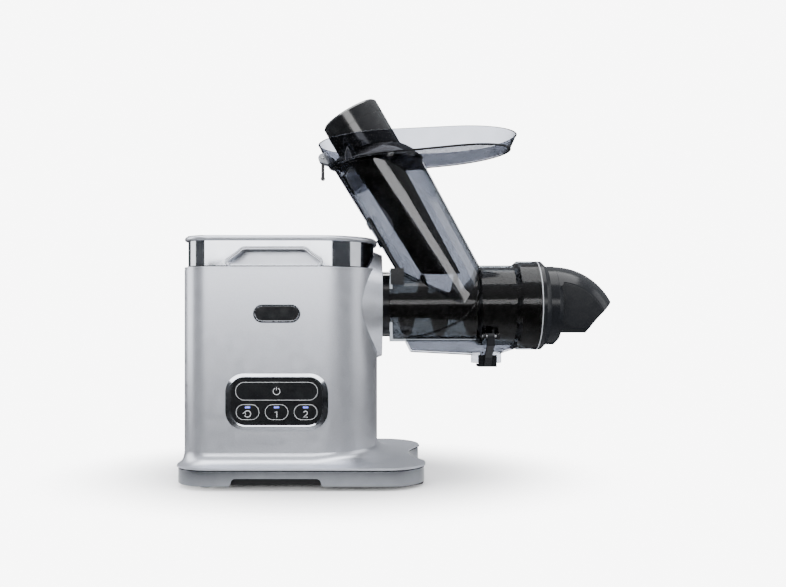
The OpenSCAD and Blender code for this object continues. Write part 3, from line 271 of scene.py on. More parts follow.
def copolyester(name, dark, light, gloss, coat=1.0):
    """Clear plastic with a tint between two shades and its least coat roughness."""
    material, tree, shader, where = start_material(
        name,
        IOR=WALL_IOR,
        Transmission_Weight=1.0,
        Roughness=0.0,
        Coat_Weight=coat,
        Coat_IOR=COPOLYESTER_IOR,
    )
    flow = patches(tree, where, 25.0, detail=1.0)
    wander(tree, shader, flow, dark, light)
    haze = patches(tree, where, 10.0, gloss, gloss + 0.04)
    tree.links.new(haze, shader.inputs["Coat Roughness"])
    return material


clear_copolyester = copolyester("clear_copolyester_tray", "#84878F", "#8A8D96", 0.03)
tube_copolyester = copolyester("clear_copolyester_tube", "#797C83", "#7F8289", 0.05)
smoke_copolyester = copolyester("smoke_copolyester_moulded", "#515559", "#5A5E63", 0.09, 0.4)
dark_copolyester = copolyester("dark_smoke_copolyester_moulded", "#2C3034", "#34383C", 0.04)
print("clear plastics: 4, walls at", WALL_IOR, "under a gloss of", COPOLYESTER_IOR)

# %% [markdown]
# Rubber feet and the cord inlet are moulded from a soft black rubber, with a dull bloom
# that lightens it in patches of about 3 mm. The seals are grey food silicone.

# %% Rubber and silicone
black_rubber = surface_finish(
    "moulded_black_rubber",
    shade=(3.0, "#141516", "#1F2021"),
    gloss=(4.0, 0.65, 0.8),
    relief=(0.05, 0.3, None),
    IOR=1.52,
)
silicone = surface_finish(
    "grey_food_silicone",
    shade=(2.0, "#5A5D60", "#66696C"),
    gloss=(3.0, 0.45, 0.55),
    IOR=1.41,
)
print(black_rubber.name, silicone.name)

# %% [markdown]
# Steel parts are turned or pressed. Turning leaves rings across the axis, pressing
# leaves a plain rolled skin with short streaks. One pattern serves both: patches drawn
# out across the machine into streaks, some 0.5 mm apart on the turned parts and 1.5 mm
# on the pressed ones. Where a streak is lighter it is also rougher.

# %% Worked metals


def worked_metal(name, dark, light, low, high, grain_mm):
    material, tree, shader, where = start_material(name, Metallic=1.0)
    drawn_out = add_node(tree, "ShaderNodeMapping", {"Vector": where, "Scale": (1.0, 0.12, 0.12)})
    streak = patches(tree, drawn_out.outputs["Vector"], grain_mm)
    wander(tree, shader, streak, dark, light)
    rough = add_node(tree, "ShaderNodeMapRange", {"Value": streak, "To Min": low, "To Max": high})
    tree.links.new(rough.outputs["Result"], shader.inputs["Roughness"])
    return material


turned_steel = worked_metal("turned_stainless_steel", "#A9ACB0", "#C4C6C9", 0.18, 0.32, 0.5)
zinc_steel = worked_metal("zinc_plated_pressed_steel", "#85898E", "#A3A7AB", 0.3, 0.5, 1.5)
copper_wire = worked_metal("enamelled_copper_wire", "#8A4A22", "#C07A44", 0.25, 0.4, 0.6)
print(turned_steel.name, zinc_steel.name, copper_wire.name)

# %% [markdown]
# Gears and gearbox are nylon, the first plain, the second filled with glass that shows
# as a finer grain. The frosted lugs of the hinge, the seal of the end cap, whose pale
# colour is a painted highlight, the lacquered circuit boards and the pressed magnets are
# made the same way: an even body whose skin shows a grain of 1 to 3 mm, felt as a
# relief of a few hundredths of a millimetre.

# %% Plain moulded and pressed bodies


def moulded(name, dark, light, low, high, grain_mm):
    shade, gloss, relief = (grain_mm, dark, light), (5.0, low, high), (0.03, 0.2, None)
    return surface_finish(name, shade, gloss, relief, IOR=1.5)


gear_nylon = moulded("natural_gear_nylon", "#D8D2BE", "#E6E1D0", 0.35, 0.5, 2.0)
glass_nylon = moulded("glass_filled_grey_nylon", "#6C7074", "#7E8286", 0.45, 0.6, 1.2)
frosted_copolyester = moulded("frosted_copolyester_lug", "#A4A7AD", "#B0B3B9", 0.3, 0.4, 2.0)
# The end cap seal's pale colour is a painted highlight.
pale_seal_painted_highlight = moulded("pale_silicone_painted_highlight", "#A9ACB1", "#B7BABF", 0.4, 0.5, 2.0)
circuit_board = moulded("coated_circuit_board", "#1E4A2A", "#2C6238", 0.25, 0.35, 3.0)
magnet_ferrite = moulded("sintered_ferrite", "#2A2B2D", "#3A3B3D", 0.6, 0.8, 1.0)
print("moulded and pressed bodies: 6")

# %% [markdown]
# The three small buttons carry a light window of blue acrylic that glows when the
# machine is plugged in. The glow is an emission on the plastic, and it wanders in
# patches of 1.6 mm, because the chip behind it lights the window unevenly. The signs
# are white pad print, a film of ink whose cover varies with the pad, and the same white
# draws the rings round the buttons as a painted highlight.

# %% Lit window, and white print and painted highlight
lit_window, tree, shader, where = start_material(
    "lit_acrylic_window", IOR=1.49, Roughness=0.2, Emission_Strength=1.6
)
glow = patches(tree, where, 1.6, detail=1.0)
wander(tree, shader, glow, "#5A63D8", "#8F95F0")
wander(tree, shader, glow, "#4C55D0", "#8087F0", "Emission Color")
# White for the printed signs, and for the painted highlight rings round the buttons.
white_print_and_highlight = surface_finish(
    "white_pad_print_and_painted_highlight", shade=(0.6, "#C9CBCE", "#DADCDF"), gloss=(1.5, 0.4, 0.6), IOR=1.5
)
print("finishes:", len(bpy.data.materials))

# %% [markdown]
# Every piece rides on a body of the machine, so that it moves with it, and stands for a
# solid where it replaces one.
# The record that came with the solids says which node sits on which body.

# %% Bodies, slots and pieces
BODY_OF = {n: b for b, names in frame["record"]["behaviour"]["bodies"].items() for n in names}
SLOT_OF = {s["node"]: s["material_slot"] for s in frame["record"]["subparts"]}


def dress(piece, body, slot, *nodes):
    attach(piece, body)
    if nodes:
        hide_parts(*nodes)
    return piece


def mesh_piece(name, mesh, material, smooth=True):
    piece = bpy.data.objects.new(name, mesh)
    bpy.context.scene.collection.objects.link(piece)
    mesh.materials.clear()
    mesh.materials.append(material)
    for face in mesh.polygons:
        face.use_smooth = smooth
    return piece


# %% [markdown]
# Each node of the solids is one piece of one material, so a table from finish to nodes
# is all it takes. Setting them one by one would work too, but a table shows at a glance
# which pieces share a mould, a plating bath or a sheet of steel.

# %% Finish of every solid
FINISHES = {
    silver_paint: "body_shell base_cover storage_tray drive_boss",
    bright_chrome: "top_band grip_frames panel_bezel badge_rim",
    chrome_painted_darker: "skirt_band",
    polished_black: "control_panel power_button reverse_button speed_1_button speed_2_button "
    "badge_plate pusher_cap pusher_body",
    satin_black: "base_plate cord_inlet bayonet_ring chamber_latch interlock_switch "
    "motor_end_bell motor_cradle strainer cooling_fan auger interlock_rod interlock_housing "
    "drip_stop_lever end_cap interlock_lever",
    clear_copolyester: "food_tray",
    tube_copolyester: "feed_tube juice_trough",
    smoke_copolyester: "chamber_barrel",
    dark_copolyester: "chute_lid",
    black_rubber: "rubber_feet shaft_seal",
    silicone: "drip_seal",
    turned_steel: "case_screws idler_pin output_bearings motor_bearings motor_rotor drive_shaft "
    "drip_pin lid_hinge_pin",
    zinc_steel: "motor_can",
    copper_wire: "rotor_windings",
    glass_nylon: "gearbox_case gearbox_cover",
    gear_nylon: "idler_gear output_gear",
    circuit_board: "button_board power_board",
    magnet_ferrite: "motor_magnets",
    lit_window: "reverse_light speed_1_light speed_2_light",
}
FINISH_OF = {node: material for material, names in FINISHES.items() for node in names.split()}
for node, solid in frame["nodes"].items():
    solid.data.materials.clear()
    solid.data.materials.append(FINISH_OF[node])
print("finished solids:", len(FINISH_OF))

# %% [markdown]
# Real moulded and pressed parts have no razor edges: the tool leaves a radius of a few
# tenths of a millimetre, and that radius is what catches the light. Most pieces are
# therefore cut from their solid, with its flat faces merged and its edges rounded with
# a bevel, which is quicker than modelling them twice and stays exactly in place.

# %% Pieces with rounded edges
MERGE_M = 2e-6  # corners closer than this are one corner
FLAT = math.radians(0.6)  # faces that turn less than this are one face
FOLD = math.radians(38)  # folds sharper than this get a radius


def rounded(node, edge_mm):
    """A copy of a solid with merged flats and rounded edges, riding where it rode."""
    mesh = frame["nodes"][node].data.copy()
    if "custom_normal" in mesh.attributes:
        mesh.attributes.remove(mesh.attributes["custom_normal"])
    work = bmesh.new()
    work.from_mesh(mesh)
    bmesh.ops.remove_doubles(work, verts=work.verts, dist=MERGE_M)
    bmesh.ops.dissolve_limit(work, angle_limit=FLAT, verts=work.verts, edges=work.edges)
    work.to_mesh(mesh)
    work.free()
    piece = mesh_piece(node + "_finished", mesh, FINISH_OF[node])
    bevel = piece.modifiers.new("moulded_edge", "BEVEL")
    bevel.width = edge_mm * MM
    bevel.segments = 2
    bevel.limit_method = "ANGLE"
    bevel.angle_limit = FOLD
    bevel.miter_outer = "MITER_ARC"
    bevel.use_clamp_overlap = True
    normals = piece.modifiers.new("even_shading", "WEIGHTED_NORMAL")
    normals.keep_sharp = False
    return dress(piece, BODY_OF[node], SLOT_OF[node], node)


EDGES_MM = {
    "body_shell": 0.8,
    "top_band": 0.3,
    "storage_tray": 0.6,
    "drive_boss": 0.6,
    "control_panel": 0.3,
    "power_button": 0.5,
    "reverse_button": 0.4,
    "speed_1_button": 0.4,
    "speed_2_button": 0.4,
    "badge_rim": 0.5,
    "badge_plate": 0.2,
    "end_cap": 0.8,
    "pusher_cap": 0.8,
    "pusher_body": 0.6,
    "chamber_barrel": 0.4,
    "juice_trough": 0.5,
    "skirt_band": 0.3,
    "base_cover": 0.4,
    "feed_tube": 0.3,
    "food_tray": 0.3,
    "chute_lid": 0.4,
}
for node, edge_mm in EDGES_MM.items():
    rounded(node, edge_mm)
print("rounded pieces:", len(EDGES_MM))

# %% [markdown]
# Some forms are too slender for the solids: beads, ribs, seals and rolled rims. Each is
# a round section swept along a line of points. A curve object could do it too, but a
# mesh keeps its section square to the line and needs no conversion later.

# %% Rods swept along a line


def new_mesh(name, work, crisp=None):
    """The mesh of a bmesh, its faces turned outwards; folds over the crisp angle show."""
    bmesh.ops.recalc_face_normals(work, faces=work.faces)
    if crisp:
        for edge in work.edges:
            edge.smooth = edge.calc_face_angle(0) < crisp
    mesh = bpy.data.meshes.new(name)
    work.to_mesh(mesh)
    work.free()
    return mesh


def neighbours(points, i, closed):
    """The points before and after point i, or the point itself at an open end."""
    last = len(points) - 1
    before = points[i - 1] if i or closed else points[i]
    after = points[(i + 1) % len(points)] if i < last or closed else points[i]
    return before, after


def swept(name, body, slot, points, radius, material, up=(0, 0, 1), closed=False, flat=1.0):
    """A rod along points in millimetres from the drive face; flat squeezes it along up."""
    sides = 10
    turns = [2 * math.pi * k / sides for k in range(sides)]
    line = [place(*p) for p in points]
    work = bmesh.new()
    sections = []
    for i, middle in enumerate(line):
        before, after = neighbours(line, i, closed)
        along = (after - before).normalized()
        lift = Vector(up[i] if isinstance(up, list) else up)
        side = along.cross(lift).normalized()
        lift = side.cross(along).normalized()
        spokes = [(side * math.cos(t) + lift * math.sin(t) * flat) * radius * MM for t in turns]
        sections.append([work.verts.new(middle + spoke) for spoke in spokes])
    for i in range(len(line) if closed else len(line) - 1):
        a, b = sections[i], sections[(i + 1) % len(line)]
        for k in range(sides):
            m = (k + 1) % sides
            work.faces.new((a[k], a[m], b[m], b[k]))
    if not closed:
        work.faces.new(sections[0])
        work.faces.new(sections[-1])
    return dress(mesh_piece(name, new_mesh(name, work), material), body, slot)


print("helper for beads, ribs and rims: swept")

# %% [markdown]
# A thin black bead runs along the edge of the food tray's floor, just outside and
# above its outline, which slopes up towards its round end.

# %% Bead under the food tray
TRAY_X0, TRAY_Z0 = -52.8, 303.9  # left tip of the tray's floor
TRAY_L, TRAY_W = 180.0, 117.0
TRAY_SLOPE = math.tan(math.radians(5.6))
BEAD_R, BEAD_OUT, BEAD_UP = 1.0, 0.2, 0.4


def tray_edge(out, lift):
    """The outline of the tray's floor from the front of the tube round the far end."""
    r = TRAY_W / 2 + out
    middle = TRAY_X0 + TRAY_L - TRAY_W / 2
    straight = (18, 30, 45, 58)
    turns = [math.radians(t) for t in range(-90, 91, 6)]
    points = [(x, -r) for x in straight]
    points += [(middle + r * math.cos(t), r * math.sin(t)) for t in turns]
    points += [(x, r) for x in reversed(straight)]
    return [(x, y, TRAY_Z0 + (x - TRAY_X0) * TRAY_SLOPE + lift) for x, y in points]


bead_line = tray_edge(BEAD_OUT, BEAD_UP)
swept("tray_bead", "hopper", SLOT_OF["interlock_lever"], bead_line, BEAD_R, satin_black)
print("tray bead:", len(bead_line), "points")

# %% [markdown]
# A moulded rib leaves the saddle of the feed tube at its right and runs down round the
# barrel towards the drive. It stiffens the clear wall where the tube pulls on it. Each
# point is a station along the machine and a turn round the barrel, counted from the
# front, and the rib is a little flatter than it is wide.

# %% Rib round the barrel
RIB_PATH = [
    (93.0, 26),
    (91.5, 12),
    (88.0, -2),
    (82.0, -14),
    (73.0, -26),
    (61.0, -38),
    (46.0, -50),
    (30.0, -60),
]
BARREL_R = 36.2
RIB_R, RIB_FLAT = 1.3, 0.8

rib_line, rib_up = [], []
for station, turn in RIB_PATH:
    c, s = math.cos(math.radians(turn)), math.sin(math.radians(turn))
    rib_line.append((station, -BARREL_R * c, AXIS_Z + BARREL_R * s))
    rib_up.append((0, -c, s))
rib_slot = SLOT_OF["chamber_barrel"]
swept("barrel_rib", "chamber", rib_slot, rib_line, RIB_R, smoke_copolyester, rib_up, flat=RIB_FLAT)
print("barrel rib:", len(rib_line), "points")

# %% [markdown]
# A silicone ring lies between the ring of the barrel and the end cap. Its pale colour
# is a painted highlight: it draws the thin light line along the rim of the cap. It turns
# with the cap, which it is pressed into.

# %% Seal of the end cap, with painted highlight
SEAL_STATION, SEAL_RING_R, SEAL_R = 153.1, 43.75, 0.6


def ring_line(station, radius, steps=72):
    """A circle round the auger's axis."""
    turns = [2 * math.pi * i / steps for i in range(steps)]
    return [(station, radius * math.cos(t), AXIS_Z + radius * math.sin(t)) for t in turns]


seal_line = ring_line(SEAL_STATION, SEAL_RING_R)
seal_body, seal_slot = BODY_OF["end_cap"], SLOT_OF["drip_seal"]
# The seal's pale colour is a painted highlight along the rim of the cap.
swept("cap_seal_painted_highlight", seal_body, seal_slot, seal_line, SEAL_R, pale_seal_painted_highlight, (1, 0, 0), closed=True)
print("cap seal:", len(seal_line), "points")

# %% [markdown]
# The plated band stands in the mouth of the body, and the gap between them lies in
# shade, a dark line all round. That shade is painted: a black rod lies in the gap.
# Above the band the storage tray ends in a rolled rim, taller than it is wide. Both
# follow one outline: a box with tight corners at the left end and wide ones at the right.

# %% Painted shade in the gap under the band, and rolled rim
BAND_X0, BAND_X1, BAND_Y = -182.6, -8.4, 76.6
BAND_R0, BAND_R1 = 23.6, 58.6  # corners at the left and at the right end
GAP_SHADE_Z, GAP_SHADE_R = 202.8, 0.5
RIM_Z, RIM_R, RIM_TALL = 228.3, 1.6, 1.3


def band_outline(z, out=0.0, steps=10):
    corners = [
        (BAND_X1 - BAND_R1, BAND_R1 - BAND_Y, BAND_R1, -90),
        (BAND_X1 - BAND_R1, BAND_Y - BAND_R1, BAND_R1, 0),
        (BAND_X0 + BAND_R0, BAND_Y - BAND_R0, BAND_R0, 90),
        (BAND_X0 + BAND_R0, BAND_R0 - BAND_Y, BAND_R0, 180),
    ]
    points = []
    for cx, cy, r, start in corners:
        for i in range(steps + 1):
            t = math.radians(start + 90 * i / steps)
            points.append((cx + (r + out) * math.cos(t), cy + (r + out) * math.sin(t), z))
    return points


# A black rod in the gap under the band: painted shade.
gap_shade_line = band_outline(GAP_SHADE_Z)
gap_shade_body, gap_shade_slot = BODY_OF["body_shell"], SLOT_OF["control_panel"]
swept("band_gap_painted_shade", gap_shade_body, gap_shade_slot, gap_shade_line, GAP_SHADE_R, satin_black, closed=True)
rim_line = band_outline(RIM_Z, RIM_R)
rim_body, rim_slot = BODY_OF["storage_tray"], SLOT_OF["storage_tray"]
swept("rolled_rim", rim_body, rim_slot, rim_line, RIM_R, silver_paint, closed=True, flat=RIM_TALL)
print("joint and rolled rim:", len(rim_line), "points each")

# %% [markdown]
# Two grips are let into the band, one at the front and one at the back. Each has a
# raised rim: foot corners of 4 mm, leaning sides and wider corners at the top, open
# along the bottom where the rim meets the body.

# %% Rims of the two grips
GRIP_X, GRIP_Z, GRIP_W, GRIP_H = -99.8, 203.1, 88.0, 16.6
GRIP_LEAN = 10.0  # how far a side leans in on its way up
GRIP_R, GRIP_FOOT_R = 8.0, 4.0
GRIP_RIM_R, GRIP_OUT = 1.1, 0.5


def grip_line(y):
    half, foot = GRIP_W / 2, GRIP_FOOT_R
    shoulder = half - GRIP_LEAN - GRIP_R
    right = []
    for t in [math.radians(d) for d in range(-90, 16, 15)]:
        right.append((half - foot + foot * math.cos(t), foot + foot * math.sin(t)))
    for t in [math.radians(d) for d in range(34, 91, 8)]:
        right.append((shoulder + GRIP_R * math.cos(t), GRIP_H - GRIP_R + GRIP_R * math.sin(t)))
    left = [(-x, z) for x, z in reversed(right)]
    return [(GRIP_X + x, y, GRIP_Z + z) for x, z in right + left]


grip_body, grip_slot = BODY_OF["grip_frames"], SLOT_OF["grip_frames"]
for side, y in (("front", -BAND_Y - GRIP_OUT), ("back", BAND_Y + GRIP_OUT)):
    line = grip_line(y)
    swept("grip_rim_" + side, grip_body, grip_slot, line, GRIP_RIM_R, silver_paint, (0, 1, 0))
print("grip rims: 2 of", len(line), "points")

# %% [markdown]
# The bezel, the edge of the panel and the hinge are stacks of outlines, each at its own
# depth. A skin lofted through the outlines gives slopes and clean corners, where a
# bevelled box would round both alike.

# %% Skins lofted through outlines
CRISP = math.radians(4)  # folds sharper than this stay a line


def arc(cx, cz, radius, start, end, steps=24):
    turns = [math.radians(start + (end - start) * i / steps) for i in range(steps + 1)]
    return [(cx + radius * math.cos(t), cz + radius * math.sin(t)) for t in turns]


def round_rectangle(w, h, r):
    x, z = w / 2 - r, h / 2 - r
    points = []
    for cx, cz, start in ((x, z, 0), (-x, z, 90), (-x, -z, 180), (x, -z, 270)):
        points += arc(cx, cz, r, start, start + 90, 12)
    return points


def lofted(name, body, slot, material, loops, middle, closed=False):
    """A skin through loops of (x, z) points, each at its own depth y, with crisp folds."""
    work = bmesh.new()
    rows = []
    for points, y in loops:
        rows.append([work.verts.new(place(middle[0] + x, y, middle[1] + z)) for x, z in points])
    pairs = list(zip(rows, rows[1:]))
    if closed:
        pairs.append((rows[-1], rows[0]))
    for low, high in pairs:
        for i in range(len(low)):
            j = (i + 1) % len(low)
            work.faces.new((low[i], low[j], high[j], high[i]))
    if not closed:
        work.faces.new(rows[0])
        work.faces.new(rows[-1])
    return dress(mesh_piece(name, new_mesh(name, work, CRISP), material), body, slot)


print("helpers for stacked outlines: arc, round_rectangle, lofted")

# %% [markdown]
# The bezel is a plated frame whose face falls away in two shallow chamfers, one to the
# body and one to the panel. Their slopes are only some 10 degrees: it is that which lets
# the upper one catch a light in front of the machine while the sides stay dark. The
# panel inside it gets a thin raised edge of its own.

# %% Bezel and panel edge
PANEL_X, PANEL_Z = -97.0, 79.0
BEZEL_LOOPS = [  # width, height, corner radius and depth, from the body to the panel
    (93.5, 51.2, 16.8, -79.6),
    (93.5, 51.2, 16.8, -80.8),
    (87.3, 45.9, 14.9, -81.34),
    (86.3, 45.1, 14.5, -81.38),
    (83.3, 43.0, 13.4, -81.18),
    (82.9, 42.6, 13.2, -79.6),
]
PANEL_EDGE_LOOPS = [
    (83.0, 42.7, 13.3, -80.2),
    (83.0, 42.7, 13.3, -80.64),
    (80.9, 40.7, 15.0, -80.64),
    (80.9, 40.7, 15.0, -80.2),
]


def panel_frame(name, node, material, sizes):
    loops = [(round_rectangle(w, h, r), y) for w, h, r, y in sizes]
    middle = (PANEL_X, PANEL_Z)
    return lofted(name, BODY_OF[node], SLOT_OF[node], material, loops, middle, closed=True)


bezel = panel_frame("panel_bezel_frame", "panel_bezel", bright_chrome, BEZEL_LOOPS)
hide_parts("panel_bezel")
panel_frame("panel_edge", "control_panel", polished_black, PANEL_EDGE_LOOPS)
print("bezel:", len(BEZEL_LOOPS), "outlines, panel edge:", len(PANEL_EDGE_LOOPS))

# %% [markdown]
# The lid turns on a pin between two clear ears at the left tip of the tray. Each ear is
# a rounded lug, drawn as the outline of two circles joined by their tangents, with its
# rim eased to 0.93 of its size on both faces. The head of the pin shows on the front.

# %% Hinge ears and pin head
HINGE_X, HINGE_Z = -58.8, 312.9
EAR_R, FOOT_R = 4.5, 3.0
FOOT_AT = (8.5, -4.0)  # from the pin towards the tray
EASED = 0.93
EAR_T, EAR_EDGE = 2.4, 0.3

foot_turn = math.degrees(math.atan2(FOOT_AT[1], FOOT_AT[0]))
ear = arc(0, 0, EAR_R, foot_turn + 85, foot_turn + 275, 20)
ear += arc(*FOOT_AT, FOOT_R, foot_turn - 85, foot_turn + 85, 10)
ear_rim = [(x * EASED, z * EASED) for x, z in ear]
hinge = (HINGE_X, HINGE_Z)
for side, y in (("front", -8.2), ("back", 8.6)):
    inner, outer = y - EAR_T + EAR_EDGE, y - EAR_EDGE
    skins = [(ear_rim, y - EAR_T), (ear, inner), (ear, outer), (ear_rim, y)]
    lofted("hinge_ear_" + side, "hopper", SLOT_OF["food_tray"], frosted_copolyester, skins, hinge)
head = [(arc(0, 0, r, 0, 345, 23), y) for r, y in ((1.7, -10.5), (1.7, -10.9), (1.2, -11.3))]
lofted("hinge_pin_head", "hopper", SLOT_OF["lid_hinge_pin"], turned_steel, head, hinge)
print("hinge ears: 2 of", len(ear), "points, and a pin head")

# %% [markdown]
# The marks on the buttons are thin white strips. A ring round each button's edge is a
# painted highlight, for the light along that edge. A power sign, an arrow for reverse
# and plain numerals for the two speeds are pad printed. The film is about 0.05 mm
# thick, so each mark is a thin strip of mesh on the button's face, built from the line
# it follows, and it moves with its button.

# %% Strips of print and painted highlight
PANEL_FACE = -80.6
BUTTON_FACE = PANEL_FACE - 0.8
# The white film and the depth of its back in the button, for the printed signs and the painted
# highlight rings alike.
WHITE_FILM = 0.06
SUNK = 0.01  # the back of the ink sits this deep in the button


def stroke(work, points, width, closed):
    """A flat white strip along a line of (x, z) points in millimetres, for print and for painted
    highlight.
    """
    line = [Vector(p) for p in points]
    count = len(line)
    rails = []
    for i, middle in enumerate(line):
        before, after = neighbours(line, i, closed)
        along = (after - before).normalized()
        side = Vector((-along.y, along.x)) * width / 2
        rails.append([middle + side, middle - side])
    back, front = (
        [[work.verts.new(place(q.x, depth, q.y)) for q in pair] for pair in rails]
        for depth in (BUTTON_FACE + SUNK, BUTTON_FACE + SUNK - WHITE_FILM)
    )
    for i in range(count if closed else count - 1):
        j = (i + 1) % count
        work.faces.new((front[i][0], front[i][1], front[j][1], front[j][0]))
        work.faces.new((back[i][1], back[i][0], back[j][0], back[j][1]))
        work.faces.new((front[i][0], front[j][0], back[j][0], back[i][0]))
        work.faces.new((front[i][1], back[i][1], back[j][1], front[j][1]))
    if not closed:
        for i in (0, count - 1):
            a, b = front[i], back[i]
            work.faces.new((a[0], b[0], b[1], a[1]) if i == 0 else (a[0], a[1], b[1], b[0]))


def print_and_highlight_mark(name, body, strokes):
    """One white mark of several strokes, each a line, a width and whether it closes: a printed
    sign, and also each painted highlight ring.
    """
    work = bmesh.new()
    for points, width, closed in strokes:
        stroke(work, points, width, closed)
    piece = mesh_piece(name, new_mesh(name, work), white_print_and_highlight, smooth=False)
    return dress(piece, body, SLOT_OF["power_button"])


def moved(points, dx, dz):
    return [(x + dx, z + dz) for x, z in points]


print("ink lies", round(WHITE_FILM - SUNK, 3), "mm proud of the buttons")

# %% [markdown]
# The buttons hardly stand out from the panel, so a white ring shows where each one
# is: a painted highlight, standing in for the light along the button's edge. It follows
# the button's own outline, a pill with round ends, just inside the edge. A groove in
# the mesh could show it too.

# %% Painted highlight rings round the buttons
KEY_Z, POWER_Z = PANEL_Z - 9.4, PANEL_Z + 9.6
KEY_PITCH = 26.4
KEY_SIZE, POWER_SIZE = (20.8, 13.6), (74.6, 16.2)
RING_LINE = 0.35
KEYS = ("reverse_key", "speed_1_key", "speed_2_key")


def pill_line(w, h):
    r = h / 2
    return arc(w / 2 - r, 0, r, -90, 90) + arc(r - w / 2, 0, r, 90, 270)


rings = {"power_key": (0, POWER_Z, POWER_SIZE)}
for k, body in enumerate(KEYS):
    rings[body] = ((k - 1) * KEY_PITCH, KEY_Z, KEY_SIZE)
for body, (dx, z, size) in rings.items():
    line = moved(pill_line(*size), PANEL_X + dx, z)
    # Each ring is a painted highlight along the edge of its button.
    print_and_highlight_mark(body + "_ring", body, [(line, RING_LINE, True)])
print("rings:", len(rings))

# %% [markdown]
# The signs are lines of a constant width, as on the plate that prints them. A text
# object could give the numerals, but they would come with the style of a font, while a
# line of a few points stays plain and matches the rings.

# %% Signs on the buttons
POWER_LINE, REVERSE_LINE, NUMERAL_LINE = 0.5, 0.6, 0.65
SIGN_Z = KEY_Z - 1.9

power_sign = [arc(0, 0, 3.1, 115, 425), [(0, 1.0), (0, 3.9)]]
reverse_sign = [arc(0, 0, 2.9, 150, -150), [(-4.4, 0.4), (-2.5, 1.5), (-1.6, -0.6)]]
one = [[(-1.5, 1.6), (0.2, 2.9), (0.2, -2.9)]]
two = [arc(0, 1.1, 1.7, 165, -35, 12) + [(-1.8, -2.7), (1.9, -2.7)]]
SIGNS = (
    ("power_sign", "power_key", power_sign, PANEL_X, POWER_Z, POWER_LINE),
    ("reverse_sign", "reverse_key", reverse_sign, PANEL_X - KEY_PITCH, KEY_Z - 1.6, REVERSE_LINE),
    ("numeral_1", "speed_1_key", one, PANEL_X, SIGN_Z, NUMERAL_LINE),
    ("numeral_2", "speed_2_key", two, PANEL_X + KEY_PITCH, SIGN_Z, NUMERAL_LINE),
)
for name, body, lines, x, z, width in SIGNS:
    print_and_highlight_mark(name, body, [(moved(line, x, z), width, False) for line in lines])
print("signs:", len(SIGNS))

# %% [markdown]
# The studio isn't part of the machine. Its floor is pale and matt, and only a pool of it
# round the machine is there, to take the shadow: further out the floor fades to clear,
# so that the backdrop behind it stays one even white.

# %% Floor
FLOOR_HALF = 3
POOL_AT, POOL_SCALE = (0.06, 0.0, 0.0), (0.8, 1.0, 1.0)  # under the base, wider along X
POOL_FULL, POOL_END = 0.09, 0.27

corners = [(x * FLOOR_HALF, y * FLOOR_HALF, 0) for x, y in ((-1, -1), (1, -1), (1, 1), (-1, 1))]
floor_mesh = bpy.data.meshes.new("studio_floor")
floor_mesh.from_pydata(corners, [], [(0, 1, 2, 3)])
floor_paint, tree, shader, where = start_material("pale_studio_floor", Roughness=0.9)
wander(tree, shader, patches(tree, where, 400), "#F4F4F5", "#F8F8F9")
pool = add_node(
    tree, "ShaderNodeMapping", {"Vector": where, "Location": POOL_AT, "Scale": POOL_SCALE}
)
reach = add_node(tree, "ShaderNodeVectorMath", {0: pool.outputs["Vector"]}, operation="LENGTH")
fade = add_node(
    tree,
    "ShaderNodeMapRange",
    {"Value": reach.outputs["Value"], "From Min": POOL_FULL, "From Max": POOL_END},
    interpolation_type="SMOOTHSTEP",
)
clear = add_node(tree, "ShaderNodeBsdfTransparent")
edge = add_node(
    tree,
    "ShaderNodeMixShader",
    {0: fade.outputs["Result"], 1: shader.outputs["BSDF"], 2: clear.outputs["BSDF"]},
)
surface = next(n for n in tree.nodes if n.type == "OUTPUT_MATERIAL").inputs["Surface"]
tree.links.new(edge.outputs["Shader"], surface)
mesh_piece("studio_floor", floor_mesh, floor_paint)
print("floor fades out between", POOL_FULL, "and", POOL_END, "m")

# %% [markdown]
# The world plays two parts. Seen straight, or through clear walls, it is a white
# backdrop. A ray that has been mirrored or scattered meets a darker room instead: black
# below the horizon, grey at eye level and pale overhead. Without that split the white
# would lie as a grey veil on everything black and glossy.

# %% World
ROOM = ((0.46, "#1A1C1F"), (0.54, "#4C4F54"), (0.88, "#D5D8DD"))  # height, colour
BACKDROP = 8.0

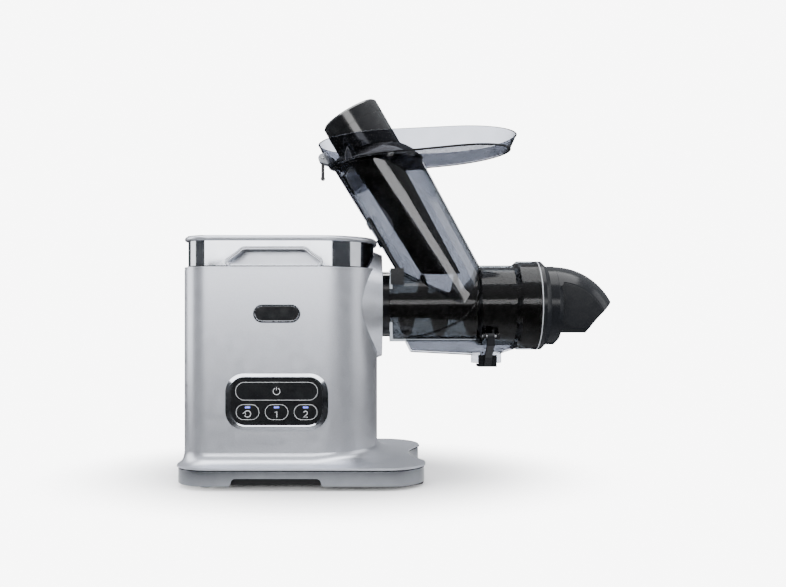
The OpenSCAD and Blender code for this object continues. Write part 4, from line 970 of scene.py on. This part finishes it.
world = bpy.data.worlds.new("studio_world")
bpy.context.scene.world = world
world.use_nodes = True
tree = world.node_tree
tree.nodes.clear()
sky = add_node(tree, "ShaderNodeTexCoord")
split = add_node(tree, "ShaderNodeSeparateXYZ", {"Vector": sky.outputs["Generated"]})
height = add_node(
    tree,
    "ShaderNodeMapRange",
    {"Value": split.outputs["Z"], "From Min": -1.0, "From Max": 1.0},
)
room = add_node(tree, "ShaderNodeValToRGB", {"Fac": height.outputs["Result"]})
room.color_ramp.elements.new(0.6)
for element, (position, colour) in zip(room.color_ramp.elements, ROOM):
    element.position = position
    element.color = srgb(colour)
path = add_node(tree, "ShaderNodeLightPath")
bounces = add_node(
    tree,
    "ShaderNodeMath",
    {0: path.outputs["Glossy Depth"], 1: path.outputs["Diffuse Depth"]},
    operation="ADD",
)
straight = add_node(
    tree, "ShaderNodeMath", {0: bounces.outputs["Value"], 1: 0.5}, operation="LESS_THAN"
)
mirrored = add_node(tree, "ShaderNodeBackground", {"Color": room.outputs["Color"]})
backdrop = add_node(
    tree, "ShaderNodeBackground", {"Color": srgb("#FFFFFF"), "Strength": BACKDROP}
)
both = add_node(
    tree,
    "ShaderNodeMixShader",
    {
        0: straight.outputs["Value"],
        1: mirrored.outputs["Background"],
        2: backdrop.outputs["Background"],
    },
)
add_node(tree, "ShaderNodeOutputWorld", {"Surface": both.outputs["Shader"]})
print("world: backdrop", BACKDROP, "and a room of", len(ROOM), "tones")

# %% [markdown]
# Four soft lights. The key is one long, low box in front, above the camera: it draws the
# bright line along every round black part and lights the silver face. A big box
# overhead fills the tray and the cove, and one box at each side shapes the ends.

# %% Soft lights


def softbox(name, location, target, size, radiance):
    """A rectangular light of the given size; its power follows from how bright it looks."""
    light = bpy.data.lights.new(name, "AREA")
    light.shape = "RECTANGLE"
    light.size, light.size_y = size
    light.energy = radiance * math.pi * size[0] * size[1]
    holder = bpy.data.objects.new(name, light)
    bpy.context.scene.collection.objects.link(holder)
    holder.location = location
    toward = Vector(target) - Vector(location)
    holder.rotation_euler = toward.to_track_quat("-Z", "Y").to_euler()


SOFTBOXES = (
    ("key_softbox", (-0.02, -1.5, 0.445), (-0.02, 0, 0.445), (2.1, 0.34), 6.0),
    ("top_softbox", (0.0, 0.0, 1.3), (0, 0, 0), (1.8, 1.2), 5.2),
    ("left_softbox", (-1.3, 0.1, 0.5), (-0.1, 0, 0.2), (0.8, 1.0), 3.0),
    ("right_softbox", (1.3, 0.0, 0.5), (0, 0, 0.2), (0.8, 1.0), 1.5),
)
for light in SOFTBOXES:
    softbox(*light)
print("lights:", len(SOFTBOXES))
